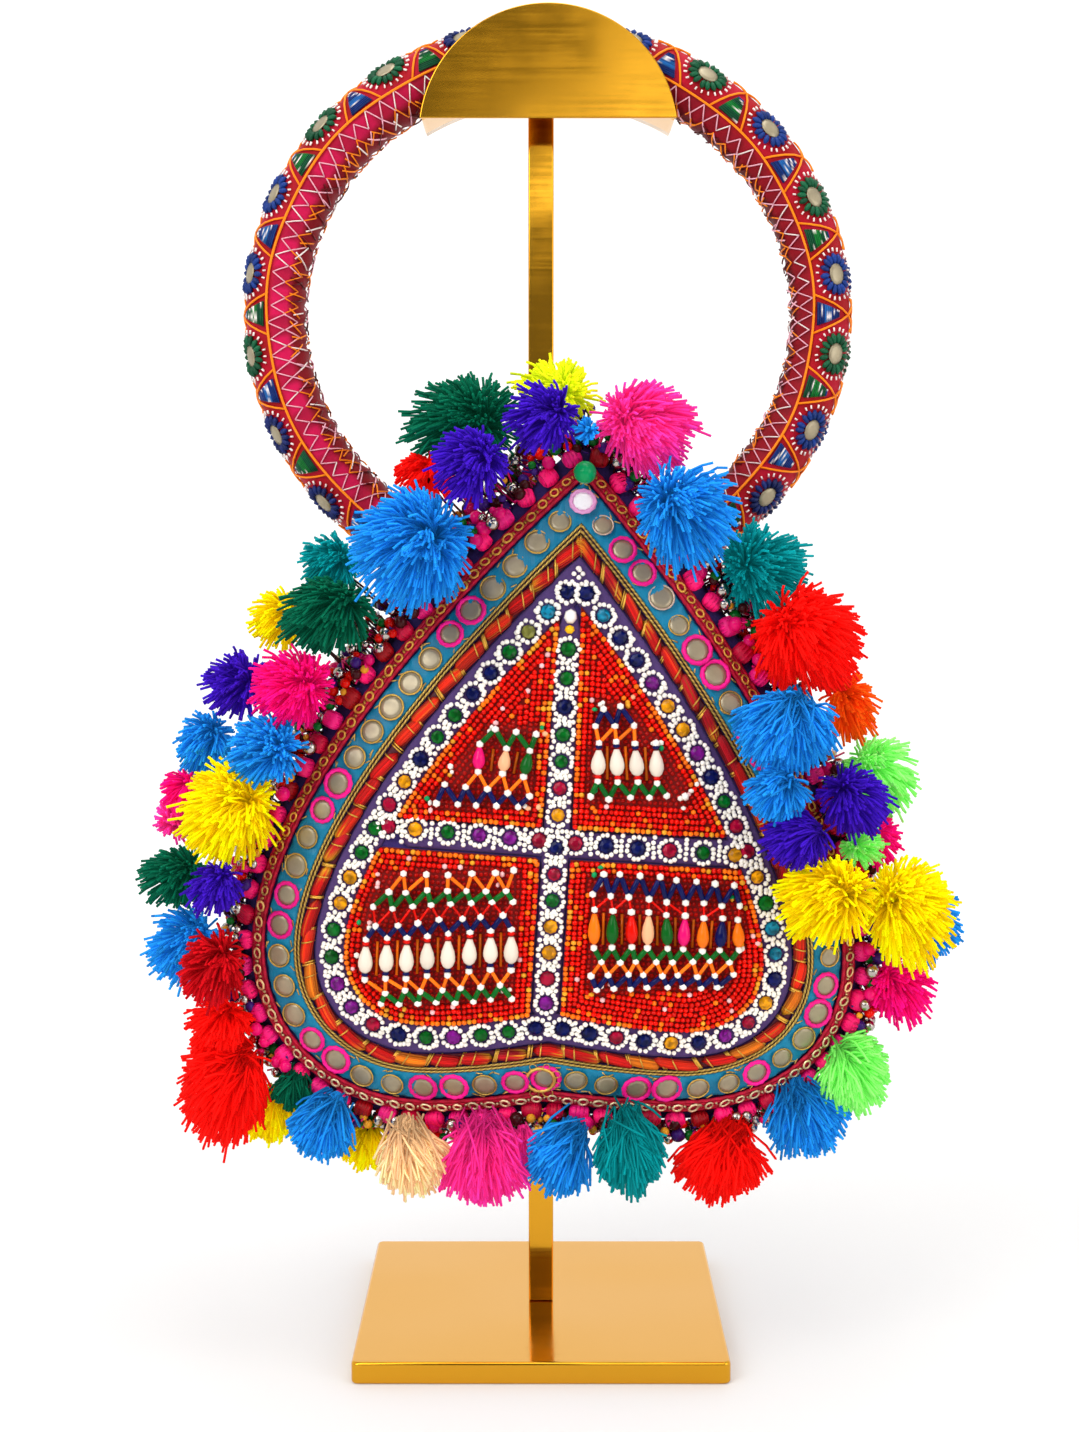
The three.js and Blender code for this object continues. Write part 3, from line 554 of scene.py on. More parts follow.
class Heap:
    """Copies of modelled shapes and laid threads, gathered for one joined mesh."""

    def __init__(self):
        self.points, self.corners, self.sizes = [], [], []
        self.tints, self.kinds, self.smooth = [], [], []
        self.total = 0

    def add(self, points, corners, sizes, tints, kind, smooth):
        copies, each = points.shape[:2]
        shift = self.total + each * np.arange(copies)
        tints = np.asarray(tints, float)
        if tints.ndim < 3:
            tints = np.broadcast_to(tints, (copies, 3))[:, None]
        self.points.append(points.reshape(-1, 3))
        self.corners.append((corners[None] + shift[:, None]).ravel())
        self.sizes.append(np.tile(sizes, copies))
        self.tints.append(np.broadcast_to(tints, (copies, each, 3)).reshape(-1, 3))
        self.kinds.append(np.full(copies * len(sizes), kind))
        self.smooth.append(np.full(copies * len(sizes), smooth))
        self.total += copies * each

    def stamp(self, shape, places, axes, tints, kind=0):
        """Copies of a shape at places, with the three axes of each scaled and turned."""
        places = np.asarray(places, float)
        axes = np.broadcast_to(axes, (len(places), 3, 3))
        points = np.einsum("nk,mkj->mnj", shape["points"], axes) + places[:, None]
        self.add(points, shape["corners"], shape["sizes"], tints, kind, shape["smooth"])

    def lay(self, lines, radius, tints, sides, up=(0.13, -1.0, 0.21)):
        """Round threads along lines, closed at both ends."""
        lines = np.asarray(lines, float)
        copies, rows = lines.shape[:2]
        tangent = unit(np.gradient(lines, axis=1))
        side = unit(np.cross(tangent, np.broadcast_to(np.asarray(up, float), lines.shape)))
        top = np.cross(side, tangent)
        turn = 2 * np.pi * np.arange(sides) / sides
        radius = np.broadcast_to(radius, (copies, rows))[..., None, None]
        rings = lines[:, :, None] + radius * (
            np.cos(turn)[:, None] * top[:, :, None] + np.sin(turn)[:, None] * side[:, :, None]
        )
        row, s = np.meshgrid(np.arange(rows - 1), np.arange(sides), indexing="ij")
        nxt = (s + 1) % sides
        quads = np.stack(
            [row * sides + s, row * sides + nxt, (row + 1) * sides + nxt, (row + 1) * sides + s], axis=-1
        ).reshape(-1)
        ends = np.concatenate([np.arange(sides)[::-1], (rows - 1) * sides + np.arange(sides)])
        sizes = np.concatenate([np.full(len(quads) // 4, 4), [sides, sides]])
        tints = np.asarray(tints, float)
        if tints.ndim == 3:
            tints = np.repeat(tints, sides, axis=1)
        self.add(rings.reshape(copies, -1, 3), np.concatenate([quads, ends]), sizes, tints, 0, True)

    def piece(self, name, *materials):
        mesh = bpy.data.meshes.new(name)
        points = np.concatenate(self.points) * MM
        corners = np.concatenate(self.corners)
        sizes = np.concatenate(self.sizes)
        mesh.vertices.add(len(points))
        mesh.vertices.foreach_set("co", points.ravel())
        mesh.loops.add(len(corners))
        mesh.loops.foreach_set("vertex_index", corners.astype(np.int32))
        mesh.polygons.add(len(sizes))
        starts = np.concatenate([[0], np.cumsum(sizes)[:-1]])
        mesh.polygons.foreach_set("loop_start", starts.astype(np.int32))
        mesh.polygons.foreach_set("material_index", np.concatenate(self.kinds).astype(np.int32))
        mesh.polygons.foreach_set("use_smooth", np.concatenate(self.smooth))
        mesh.update(calc_edges=True)
        tint_points(mesh, np.concatenate(self.tints))
        for material in materials:
            mesh.materials.append(material)
        made = bpy.data.objects.new(name, mesh)
        bpy.context.scene.collection.objects.link(made)
        return made


def tint_points(mesh, tints):
    layer = mesh.attributes.new("tint", "FLOAT_COLOR", "POINT")
    opaque = np.column_stack([tints, np.ones(len(tints))])
    layer.data.foreach_set("color", opaque.astype(np.float32).ravel())


def wrapped(name, columns, rows, place, material, tint=None, closed=True):
    """A grid laid over a surface: place() gives millimetres for shares across and up the grid."""
    bpy.ops.object.select_all(action="DESELECT")
    bpy.ops.mesh.primitive_grid_add(x_subdivisions=columns, y_subdivisions=rows, size=2)
    made = bpy.context.active_object
    made.name = made.data.name = name
    flat = np.zeros(len(made.data.vertices) * 3)
    made.data.vertices.foreach_get("co", flat)
    shares = (flat.reshape(-1, 3)[:, :2] + 1) / 2
    made.data.vertices.foreach_set("co", (place(shares[:, 0], shares[:, 1]) * MM).ravel())
    if tint is not None:
        tint_points(made.data, tint(shares[:, 0], shares[:, 1]))
    bpy.ops.object.mode_set(mode="EDIT")
    bpy.ops.mesh.select_all(action="SELECT")
    bpy.ops.mesh.remove_doubles(threshold=0.000004)
    if closed:
        bpy.ops.mesh.normals_make_consistent(inside=False)
    bpy.ops.object.mode_set(mode="OBJECT")
    bpy.ops.object.shade_smooth()
    made.data.materials.append(material)
    return made


def face_out(made, way):
    """Turns an open sheet so that its faces look to the front (-1) or to the back (1)."""
    if way * sum(polygon.normal.y * polygon.area for polygon in made.data.polygons) < 0:
        made.data.flip_normals()


def thicken(made, wall):
    """Gives a sheet just made its thickness, on the inner side."""
    thick = made.modifiers.new("wall", "SOLIDIFY")
    thick.thickness = wall * MM
    thick.offset = -1
    bpy.ops.object.modifier_apply(modifier=thick.name)


def loop_strip(name, section, columns, sides, material, tint=None):
    """A closed strip round the front; section() gives inset and lift for a way round and a turn."""

    def place(p, q):
        inset, lift = section(p, 2 * np.pi * q)
        return hung(face(FRONT, p, inset, lift))

    return wrapped(name, columns, sides, place, material, tint)


def keep(piece, slot, *nodes):
    """A finished piece rides on the one body and stands for CAD nodes, which are hidden; the slot is not
    used.
    """
    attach(piece, "root")
    if nodes:
        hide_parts(*nodes)


def joined(name, pieces):
    bpy.ops.object.select_all(action="DESELECT")
    for piece in pieces:
        piece.select_set(True)
    bpy.context.view_layer.objects.active = pieces[0]
    bpy.ops.object.join()
    pieces[0].name = pieces[0].data.name = name
    return pieces[0]


# Materials


def plug(owner, node, inputs):
    """Sets sockets of a node to values, or links them from other sockets."""
    for name, value in inputs.items():
        if isinstance(value, bpy.types.NodeSocket):
            owner.node_tree.links.new(value, node.inputs[name])
        else:
            node.inputs[name].default_value = value


def add_node(owner, kind, inputs=None, **settings):
    """Adds a node with its settings to a material or the world."""
    made = owner.node_tree.nodes.new(kind)
    for name, value in settings.items():
        setattr(made, name, value)
    plug(owner, made, inputs or {})
    return made


def new_material(name, **sockets):
    material = bpy.data.materials.new(name)
    material.use_nodes = True
    shader = material.node_tree.nodes["Principled BSDF"]
    plug(material, shader, {socket.replace("_", " "): value for socket, value in sockets.items()})
    return material, shader


def object_place(owner):
    return add_node(owner, "ShaderNodeTexCoord").outputs["Object"]


def noise(owner, place, scale, detail):
    inputs = {"Vector": place, "Scale": scale, "Detail": detail}
    return add_node(owner, "ShaderNodeTexNoise", inputs).outputs[0]


def product(owner, first, second):
    return add_node(owner, "ShaderNodeMath", {0: first, 1: second}, operation="MULTIPLY").outputs[0]


def ranged(owner, value, low, high, start=0.0, end=1.0):
    """A value that goes from start to end, drawn out to go from low to high."""
    inputs = {"Value": value, "From Min": start, "From Max": end, "To Min": low, "To Max": high}
    return add_node(owner, "ShaderNodeMapRange", inputs).outputs[0]


def blend(owner, share, first, second):
    return add_node(owner, "ShaderNodeMix", {0: share, 6: first, 7: second}, data_type="RGBA").outputs[2]


def bump(owner, height, strength, distance):
    inputs = {"Height": height, "Strength": strength, "Distance": distance}
    return add_node(owner, "ShaderNodeBump", inputs).outputs[0]


def darker(code, by):
    return tuple(by * c for c in code[:3]) + (1.0,)


def plated_steel(name, colours, clear, dull):
    """Gold-plated steel: warm mirror with hairline wipe marks and a faint haze."""
    made, shader = new_material(name, Metallic=1.0, Base_Color=colours.gold)
    place = object_place(made)
    # Wipe marks 0.5 mm wide and some 40 mm long.
    drawn_out = {"Vector": place, "Scale": (25, 2000, 700), "Rotation": (0, 0.5, 0.3)}
    streak = add_node(made, "ShaderNodeMapping", drawn_out).outputs[0]
    worn = product(made, noise(made, streak, 1.0, 2.0), noise(made, place, 60.0, 3.0))
    wave = noise(made, place, 9.0, 1.0)
    plug(made, shader, {
        "Roughness": ranged(made, worn, clear, dull, 0.15, 0.45), "Normal": bump(made, wave, 0.3, 0.006),
    })
    return made


def woven_cloth(name, code, roughness, sheen, pitch=0.8, depth=0.00015):
    """Plain-woven cloth: two crossing sets of threads, drawn a little coarser than life so that they show."""
    made, shader = new_material(name, Roughness=roughness, Sheen_Weight=sheen, Specular_IOR_Level=0.25)
    place = object_place(made)
    inputs = {"Vector": place, "Scale": 1 / (pitch * MM) / 6.0}
    across = add_node(made, "ShaderNodeTexWave", inputs, bands_direction="X").outputs[1]
    upward = add_node(made, "ShaderNodeTexWave", inputs, bands_direction="Z").outputs[1]
    patch = noise(made, place, 45.0, 4.0)
    plug(made, shader, {
        "Base Color": blend(made, patch, darker(code, 0.62), code),
        "Normal": bump(made, product(made, across, upward), 0.6, depth),
    })
    return made


def tinted(name, grain=0.0, grain_size=0.3, **sockets):
    """A finish whose colour is the piece's own tint, with a fine grain of the given size in millimetres."""
    made, shader = new_material(name, **sockets)
    tint = add_node(made, "ShaderNodeAttribute", attribute_name="tint").outputs["Color"]
    plug(made, shader, {"Base Color": tint})
    # A finish that glows does so in its own tint: painted light, not a lamp.
    if "Emission_Strength" in sockets:
        plug(made, shader, {"Emission Color": tint})
    if grain:
        speck = noise(made, object_place(made), 1 / (grain_size * MM), 2.0)
        plug(made, shader, {"Normal": bump(made, speck, grain, 0.0003)})
    return made


def old_mirror(colours):
    """Hand-cut mirror glass: grey-brown silvering with cloudy spots."""
    made, shader = new_material("old_mirror_glass", Metallic=0.55, Coat_Weight=0.25, Coat_Roughness=0.12)
    cloud = noise(made, object_place(made), 260.0, 3.0)
    plug(made, shader, {
        "Base Color": blend(made, cloud, colours.mirror[:], darker(colours.mirror, 0.6)),
        "Roughness": ranged(made, cloud, 0.3, 0.55),
    })
    return made


FINISHES = {}


def finish(name):
    """Each finish is made once and shared."""
    if name not in FINISHES:
        colours = bpy.context.scene.potli_colours
        makers = {
            "gold": lambda: plated_steel("polished_gold_plated_steel", colours, 0.06, 0.16),
            "brushed_gold": lambda: plated_steel("brushed_gold_plated_steel", colours, 0.12, 0.24),
            "cloth": lambda: woven_cloth("purple_cotton", colours.cloth[:], 0.85, 0.06),
            "band": lambda: woven_cloth("teal_satin", colours.band[:], 0.36, 0.04, 0.5, 0.00008),
            "ribbon": lambda: woven_cloth("dusky_ribbon", colours.ribbon[:], 0.7, 0.06, 0.7),
            "felt": lambda: woven_cloth("red_felt_ground", colours.felt[:], 0.9, 0.06, 0.9),
            # Pressed glass beads: clean and glossy, colour through the glass.
            "glass": lambda: tinted(
                "seed_bead_glass", Roughness=0.12, Specular_IOR_Level=0.13, Coat_Weight=0.04,
                Coat_Roughness=0.05,
            ),
            # Rayon embroidery floss: soft lengthwise shine.
            "thread": lambda: tinted(
                "rayon_embroidery_floss", 0.35, 0.35, Roughness=0.42, Specular_IOR_Level=0.22
            ),
            # Metal thread wound on cotton: bright lines, duller between.
            "metal_thread": lambda: tinted("wound_metal_thread", 0.4, 0.25, Metallic=0.75, Roughness=0.36),
            # Neon-dyed acrylic knitting yarn, cut: matt and deep in colour, with a faint glow in its own
            # colour that is painted light.
            "yarn": lambda: tinted(
                "cut_acrylic_yarn", 0.5, 0.3, Roughness=0.85, Specular_IOR_Level=0.05, Emission_Strength=0.2
            ),
            # Padded satin, thick with stitches.
            "quilt": lambda: tinted(
                "quilted_cotton_satin", 0.5, 0.5, Roughness=0.55, Specular_IOR_Level=0.14
            ),
            "mirror": lambda: old_mirror(colours),
            # Nickelled hollow beads, lightly worn.
            "silver": lambda: new_material(
                "nickelled_bead_metal", Metallic=1.0, Roughness=0.2, Base_Color=colours.silver[:]
            )[0],
        }
        FINISHES[name] = makers[name]()
    return FINISHES[name]


def varied(rng, tints, spread, count=None):
    """Colours, or count copies of one, with a little difference in brightness from each to the next."""
    return tints * rng.uniform(1 - spread, 1 + spread, (count or len(tints), 1))


# Operators


class POTLI_OT_stage(Operator):
    """Pale floor with a curved back, soft lamps and the camera"""

    bl_idname = "potli.stage"
    bl_label = "Stage"

    def execute(self, context):
        stage = context.scene.potli_stage
        self.floor(context)
        self.lamp("key_lamp", (-0.9, -1.3, 1.15), (0, 0, 0.3), 1.1, stage.key)
        self.lamp("fill_lamp", (1.2, -1.0, 0.55), (0, 0, 0.3), 0.9, stage.fill)
        self.lamp("top_lamp", (0.1, -0.25, 1.5), (0, -0.02, 0.2), 0.9, stage.top)
        self.lamp("front_lamp", (0.37, -1.4, 0.98), (0, -0.04, 0.5), 0.62, stage.front)
        self.lamp("strip_lamp", (0.2, -1.6, 0.71), (0.2, 0, 0.46), 0.46, stage.strip, 0.09)
        self.surround(context, stage.sky)
        bpy.ops.object.camera_add(location=(-0.0004, -0.9304, 0.340), rotation=(math.radians(84.97), 0, 0))
        camera = context.active_object
        camera.name = "camera"
        camera.data.lens = stage.lens
        camera.data.sensor_width = 36
        context.scene.camera = camera
        context.scene.view_settings.view_transform = "Standard"
        return {"FINISHED"}

    def floor(self, context):
        def sweep(p, q):
            run = FLOOR["front"] + (FLOOR["run"] - FLOOR["front"]) * q
            bend = np.clip((run - FLOOR["back"]) / FLOOR["curve"], 0, None)
            turn = np.minimum(bend, np.pi / 2)
            y = np.minimum(run, FLOOR["back"]) + FLOOR["curve"] * np.sin(turn)
            z = FLOOR["curve"] * (1 - np.cos(turn) + bend - turn)
            return np.stack([FLOOR["wide"] * (p - 0.5), y, z], axis=-1)

        # A lit acrylic sweep: white, and bright by itself behind the object.
        paint, shader = new_material(
            "lit_acrylic_sweep", Roughness=0.7, Base_Color=context.scene.potli_colours.floor,
            Emission_Color=(1, 1, 1, 1),
        )
        parts = add_node(paint, "ShaderNodeSeparateXYZ", {0: object_place(paint)})
        plug(paint, shader, {"Emission Strength": ranged(paint, parts.outputs[1], 0.12, 0.5, 0.0, 0.9)})
        wrapped("studio_floor", 4, 48, sweep, paint, closed=False)

    def lamp(self, name, place, target, size, power, tall=None):
        bpy.ops.object.light_add(type="AREA", location=place)
        made = bpy.context.active_object
        made.name = name
        way = np.subtract(target, place)
        flat = math.hypot(way[0], way[1])
        climb, turn = math.atan2(way[2], flat), math.atan2(way[1], way[0])
        made.rotation_euler = (math.pi / 2 + climb, 0, turn - math.pi / 2)
        made.data.shape = "RECTANGLE"
        made.data.size, made.data.size_y = size, tall or size
        made.data.energy = power

    def surround(self, context, strength):
        world = context.scene.world or bpy.data.worlds.new("studio")
        context.scene.world = world
        world.use_nodes = True
        ground = world.node_tree.nodes["Background"]
        way = add_node(world, "ShaderNodeTexCoord").outputs["Generated"]
        parts = add_node(world, "ShaderNodeSeparateXYZ", {0: way})
        # The surround is white behind the object and greyer on the camera's side.
        share = ranged(world, parts.outputs[1], 0.22, 1.0, -0.9, 0.1)
        plug(world, ground, {"Color": share, "Strength": strength})


class POTLI_OT_stand(Operator):
    """Square base plate, and the post with its saddle and half-round front plate"""

    bl_idname = "potli.stand"
    bl_label = "Stand"

    def execute(self, context):
        gold = finish("gold")
        low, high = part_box("stand_base")
        base = self.block("stand_base_plate", low, high, 0.003)
        base.data.materials.append(gold)
        keep(base, "gold_metal", "stand_base")
        post_top = self.saddle_top(np.array(POST_SIDE)) - SADDLE_THICK / 2
        half = POST_SIDE / 2 * MM
        post = self.block("post", (-half, -half, high.z), (half, half, float(post_top) * MM), 0)
        post.data.materials.append(gold)
        plate = self.plate()
        plate.data.materials.append(finish("brushed_gold"))
        holder = joined("stand_post_and_plate", [post, self.saddle(gold), plate])
        keep(holder, "gold_metal", "stand_holder")
        return {"FINISHED"}

    def saddle_top(self, x):
        reach = RING["half_width"] - RING["tube"] - GAP
        rise = RING["half_height"] - RING["tube"] - GAP
        return RING["z"] + rise * np.sqrt(1 - (x / reach) ** 2)

    def soften(self, made, width):
        """Rounds the edges; flat faces keep their own shading."""
        bpy.ops.object.shade_smooth()
        edge = made.modifiers.new("edge", "BEVEL")
        edge.width = width
        edge.segments = 3
        edge.limit_method = "ANGLE"
        edge.harden_normals = True
        bpy.ops.object.modifier_apply(modifier=edge.name)

    def block(self, name, low, high, corner):
        bpy.ops.object.select_all(action="DESELECT")
        size = np.subtract(high, low)
        bpy.ops.mesh.primitive_cube_add(size=1, location=(np.array(low) + np.array(high)) / 2, scale=size)
        bpy.ops.object.transform_apply(location=True, rotation=False, scale=True)
        made = bpy.context.active_object
        made.name = made.data.name = name
        if corner:
            bpy.ops.object.mode_set(mode="EDIT")
            bpy.ops.mesh.select_mode(type="EDGE")
            bpy.ops.mesh.select_all(action="DESELECT")
            bpy.ops.object.mode_set(mode="OBJECT")
            for edge in made.data.edges:
                a, b = (made.data.vertices[k].co for k in edge.vertices)
                edge.select = abs(a.z - b.z) > 0.5 * size[2]
            bpy.ops.object.mode_set(mode="EDIT")
            bpy.ops.mesh.bevel(offset=corner, segments=5)
            bpy.ops.object.mode_set(mode="OBJECT")
        self.soften(made, 0.0013 if corner else 0.0007)
        return made

    def saddle(self, gold):
        front, back = PLATE["front"] + PLATE["thick"] / 2, POST_SIDE / 2

        def place(p, q):
            x = PLATE["half_chord"] * (2 * p - 1)
            return np.stack([RING["x"] + x, front + (back - front) * q, self.saddle_top(x)], axis=-1)

        made = wrapped("saddle", 48, 6, place, gold, closed=False)
        thicken(made, SADDLE_THICK)
        return made

    def plate(self):
        radius = (PLATE["half_chord"] ** 2 + PLATE["rise"] ** 2) / (2 * PLATE["rise"])
        middle = PLATE["foot"] + PLATE["rise"] - radius
        bpy.ops.object.select_all(action="DESELECT")
        bpy.ops.mesh.primitive_cylinder_add(
            vertices=192, radius=radius * MM, depth=PLATE["thick"] * MM, rotation=(math.pi / 2, 0, 0),
            location=(RING["x"] * MM, (PLATE["front"] + PLATE["thick"] / 2) * MM, middle * MM),
        )
        bpy.ops.object.transform_apply(location=True, rotation=True, scale=True)
        made = bpy.context.active_object
        bpy.ops.object.mode_set(mode="EDIT")
        bpy.ops.mesh.select_all(action="SELECT")
        bpy.ops.mesh.bisect(
            plane_co=(0, 0, PLATE["foot"] * MM), plane_no=(0, 0, 1), use_fill=True, clear_inner=True
        )
        bpy.ops.object.mode_set(mode="OBJECT")
        self.soften(made, 0.0005)
        return made


class POTLI_OT_pouch(Operator):
    """Front and back walls of purple cotton, open at the point"""

    bl_idname = "potli.pouch"
    bl_label = "Pouch"

    def execute(self, context):
        for name, node, wall, ripple in (
            ("pouch_front_cloth", "pouch_front", FRONT, 0.0), ("pouch_back_cloth", "pouch_back", BACK, 0.7),
        ):
            made = wrapped(
                name, 160, 26, lambda p, q: self.cloth(wall, p, q, ripple), finish("cloth"), closed=False
            )
            face_out(made, wall["way"])
            thicken(made, WALL)
            keep(made, "pouch_cloth", node)
        return {"FINISHED"}

    def cloth(self, wall, p, q, ripple):
        edge = 58.0
        inset = RIM + (edge - RIM) * np.minimum(q / 0.72, 1)
        outer = face(wall, p, inset)
        inward = np.clip((q - 0.72) / 0.28, 0, 1)
        u = outer[:, 0] * (1 - inward)
        v = outer[:, 2] + (MIDDLE_V - outer[:, 2]) * inward
        points = np.where((inward > 0)[:, None], inside(wall, u, v), outer)
        if ripple:
            # Gathers fade away from the seam.
            fade = np.clip(1 - q / 0.6, 0, 1) * np.clip(q / 0.06, 0, 1)
            turn = 2 * np.pi * p
            wave = np.sin(37 * turn) + 0.6 * np.sin(23 * turn + 5 * q) + 0.5 * np.sin(11 * turn)
            points[:, 1] -= ripple * fade * (1 - wave / 2.1)
        return hung(points)


class POTLI_OT_ring(Operator):
    """Padded ring: quilted cover, laid threads, mirror rosettes and the sleeve that holds the bag"""

    bl_idname = "potli.ring"
    bl_label = "Ring handle"

    def execute(self, context):
        sizes = context.scene.potli_sizes
        self.count = sizes.ring_rosettes
        self.thread = sizes.thread / MM / 2
        cover = wrapped("ring_cover", 396, 28, self.cover, finish("quilt"), self.cover_tint)
        keep(cover, "handle_cloth", "ring_handle")
        heap = Heap()
        self.rosettes(heap)
        self.triangles(heap)
        self.lines(heap)
        keep(heap.piece("ring_embroidery", finish("thread"), finish("mirror")), "handle_cloth")
        sleeve = wrapped("ring_sleeve_cloth", 32, 48, self.sleeve, finish("cloth"))
        keep(sleeve, "pouch_cloth", "ring_sleeve")
        return {"FINISHED"}

    def pucker(self, turn, around):
        """The cover is drawn in along its laced inner seam."""
        inner = np.exp(-((np.degrees(around) + 84) / 34) ** 2)
        return -inner * (0.5 + 0.55 * np.cos(3.5 * self.count * turn)) - 0.25

    def cover(self, p, q):
        turn, around = 2 * np.pi * p, 2 * np.pi * q
        around = np.where(around > np.pi, around - 2 * np.pi, around)
        return ring_point(turn, around, self.pucker(turn, around))

    def twist(self, turn, degrees, back):
        """The cover sits a little turned round its padding: inwards on the right, outwards on the left."""
        level = 180 - degrees if back else degrees
        return level - RING_TWIST * np.cos(turn)

    def cover_tint(self, p, q):
        turn, around = 2 * np.pi * p, np.degrees(2 * np.pi * q)
        level = (around + RING_TWIST * np.cos(turn) + 180) % 360 - 180
        front = np.where(np.abs(level) <= 90, level, 180 * np.sign(level) - level)
        names = ["hot_pink", "scarlet", "satin", "dark_red", "rose"]
        pink, scarlet, satin, seam, rose = shade(THREADS, names)
        stripe = 0.5 + 0.5 * np.sin(1.5 * self.count * turn + 0.6)
        outside = pink + (scarlet - pink) * (0.55 + 0.45 * stripe)[:, None]
        # Painted light and shade: below the orange line the cover turns rosier towards the left of the ring
        # and stays darker red on the right.
        side = ((0.5 - 0.5 * np.cos(turn)) ** 2)[:, None]
        cell = np.where((np.sin(4.5 * self.count * turn) > 0)[:, None], satin, 0.6 * satin + 0.4 * seam)
        patch = np.where(np.sin(1.5 * self.count * turn) > -0.4, 0.9, 0.45)[:, None]
        inner = cell + (rose - cell) * side * patch
        tint = np.where((front > -4)[:, None], outside, inner)
        # The laced seam is dark red, and the same painted light lifts it towards the left.
        return np.where((front < -44)[:, None], seam + (satin - seam) * side * 0.7, tint)

    def at(self, turn, degrees, lift):
        return ring_point(turn, np.radians(degrees), lift)

    def rosettes(self, heap):
        rng = np.random.default_rng(3)
        glass = modelled(lambda: turned([(0.96, 0), (1, 0.06), (0.97, 0.14), (0.5, 0.2)], 12))
        turns = np.pi / 2 - 2 * np.pi * np.arange(self.count) / self.count
        names = (ROSETTE_THREADS_RIGHT + ROSETTE_THREADS_LEFT[::-1] + ["navy"] * self.count)[:self.count]
        white = shade(THREADS, ["white"])
        for back in (False, True):
            here, axes = ring_seat(turns, np.radians(self.twist(turns, 44.0, back)), 0.2)
            heap.stamp(glass, here, axes * np.array([4.4, 3.3, 3.4])[:, None], np.ones(3), 1)
            for k in range(self.count):
                petals = self.rays(rng, 16, [4.3, 5.4, 7.0, 8.3])
                petals[:, :, 2] += np.array([0.2, 0.5, 0.5, 0.0]) + rng.uniform(-0.15, 0.15, (16, 1))
                tone = varied(rng, shade(THREADS, [names[k]]), 0.35, 16)
                width = np.array([0.6, 1.1, 1.2, 0.5])
                heap.lay(self.curl(here[k], axes[k], petals), width, tone, 5, up=axes[k][2])
                marks = self.rays(rng, 22, [9.0, 10.5])
                marks[:, :, 2] += 0.3
                heap.lay(self.curl(here[k], axes[k], marks), 0.46, white, 3, up=axes[k][2])

    def rays(self, rng, count, reach):
        """Marks round a rosette, which is narrower across the ring than along it."""
        turn = 2 * np.pi * (np.arange(count) + rng.uniform(-0.15, 0.15, count)) / count
        flat = np.stack([np.cos(turn), 0.78 * np.sin(turn), 0 * turn], axis=1)
        return np.array(reach)[None, :, None] * flat[:, None]

    def curl(self, here, axes, local):
        """Marks drawn on a flat patch, wrapped round the tube."""
        x, y, z = local[..., 0], local[..., 1], local[..., 2]
        bend = y / RING["tube"]
        reach = RING["tube"] + 0.5
        across = np.sin(bend) * (reach + z)
        down = np.cos(bend) * (reach + z) - reach
        return here + x[..., None] * axes[0] + across[..., None] * axes[1] + down[..., None] * axes[2]

    def triangles(self, heap):
        """Satin triangles between the rosettes, edged with orange thread that crosses over the outer edge."""
        rng = np.random.default_rng(5)
        pitch = 2 * np.pi / self.count
        middles = np.pi / 2 - pitch * (np.arange(self.count) + 0.5)
        half = 0.27 * pitch
        share = np.linspace(0, 1, 5)
        orange = shade(THREADS, ["orange"])
        for back in (False, True):
            fills, tones = [], []
            for number, middle in enumerate(middles):
                satin = ["blue", "sky", "blue", "navy"] if number % 2 else ["green", "leaf", "green", "blue"]
                for row in range(13):
                    level = 5.0 + 3.2 * row
                    wide = half * 0.66 * (1 - (level + 2) / 60)
                    turn = middle + wide * np.array([-1, -0.4, 0.4, 1])
                    fills.append(self.at(turn, self.twist(turn, level, back), 0.45))
                    pale = rng.uniform(size=(4, 1)) < 0.14
                    plain = shade(THREADS, [satin[row // 4 % 4]]) * rng.uniform(0.7, 1.2)
                    tones.append(np.where(pale, shade(THREADS, ["white"]), plain))
            heap.lay(np.array(fills), 0.6, np.array(tones), 3)
            for way in (-1, 1):
                for first, last, low, high in ((half, 0.0, -3, 70), (0.0, -0.2 * pitch, 70, 102)):
                    turns = middles[:, None] + way * (first + (last - first) * share)
                    level = low + (high - low) * share + 0 * turns
                    heap.lay(self.at(turns, self.twist(turns, level, back), 0.5), self.thread, orange, 4)

    def lines(self, heap):
        """The orange line, the net of two zigzags below it and the laced seam on the inside."""
        rng = np.random.default_rng(7)
        turn = np.linspace(0, 2 * np.pi, 265)
        share = np.linspace(0, 1, 4)
        for back in (False, True):
            line = self.at(turn, self.twist(turn, -3 + 1.5 * np.sin(11 * turn), back), 0.6)
            heap.lay(line[None], self.thread * 1.15, shade(THREADS, ["orange"]), 4)
            self.zigzag(heap, rng, back, (-7.0, -35.0), ["white", "blush"], [0.3, 0.7])
            self.zigzag(heap, rng, back, (-62.0, -36.0), ["orange", "blush"], [0.55, 0.45])
            count = 10 * self.count
            lace = 2 * np.pi * (np.arange(count) + rng.uniform(-0.3, 0.3, count)) / count
            slant = 0.035 * np.where(np.arange(count) % 2, 1, -1)[:, None]
            stitch = lace[:, None] + (rng.uniform(-0.03, 0.03, (count, 1)) + slant) * share
            angle = rng.uniform(-54, -38, (count, 1)) + rng.uniform(-46, -20, (count, 1)) * share
            angle = self.twist(stitch, angle, back)
            lift = 0.6 + self.pucker(stitch, np.radians(angle))
            odds = [0.36, 0.2, 0.34, 0.1]
            names = rng.choice(["orange", "blush", "dark_red", "white"], count, p=odds)
            heap.lay(self.at(stitch, angle, lift), self.thread * 0.85, shade(THREADS, names), 3)

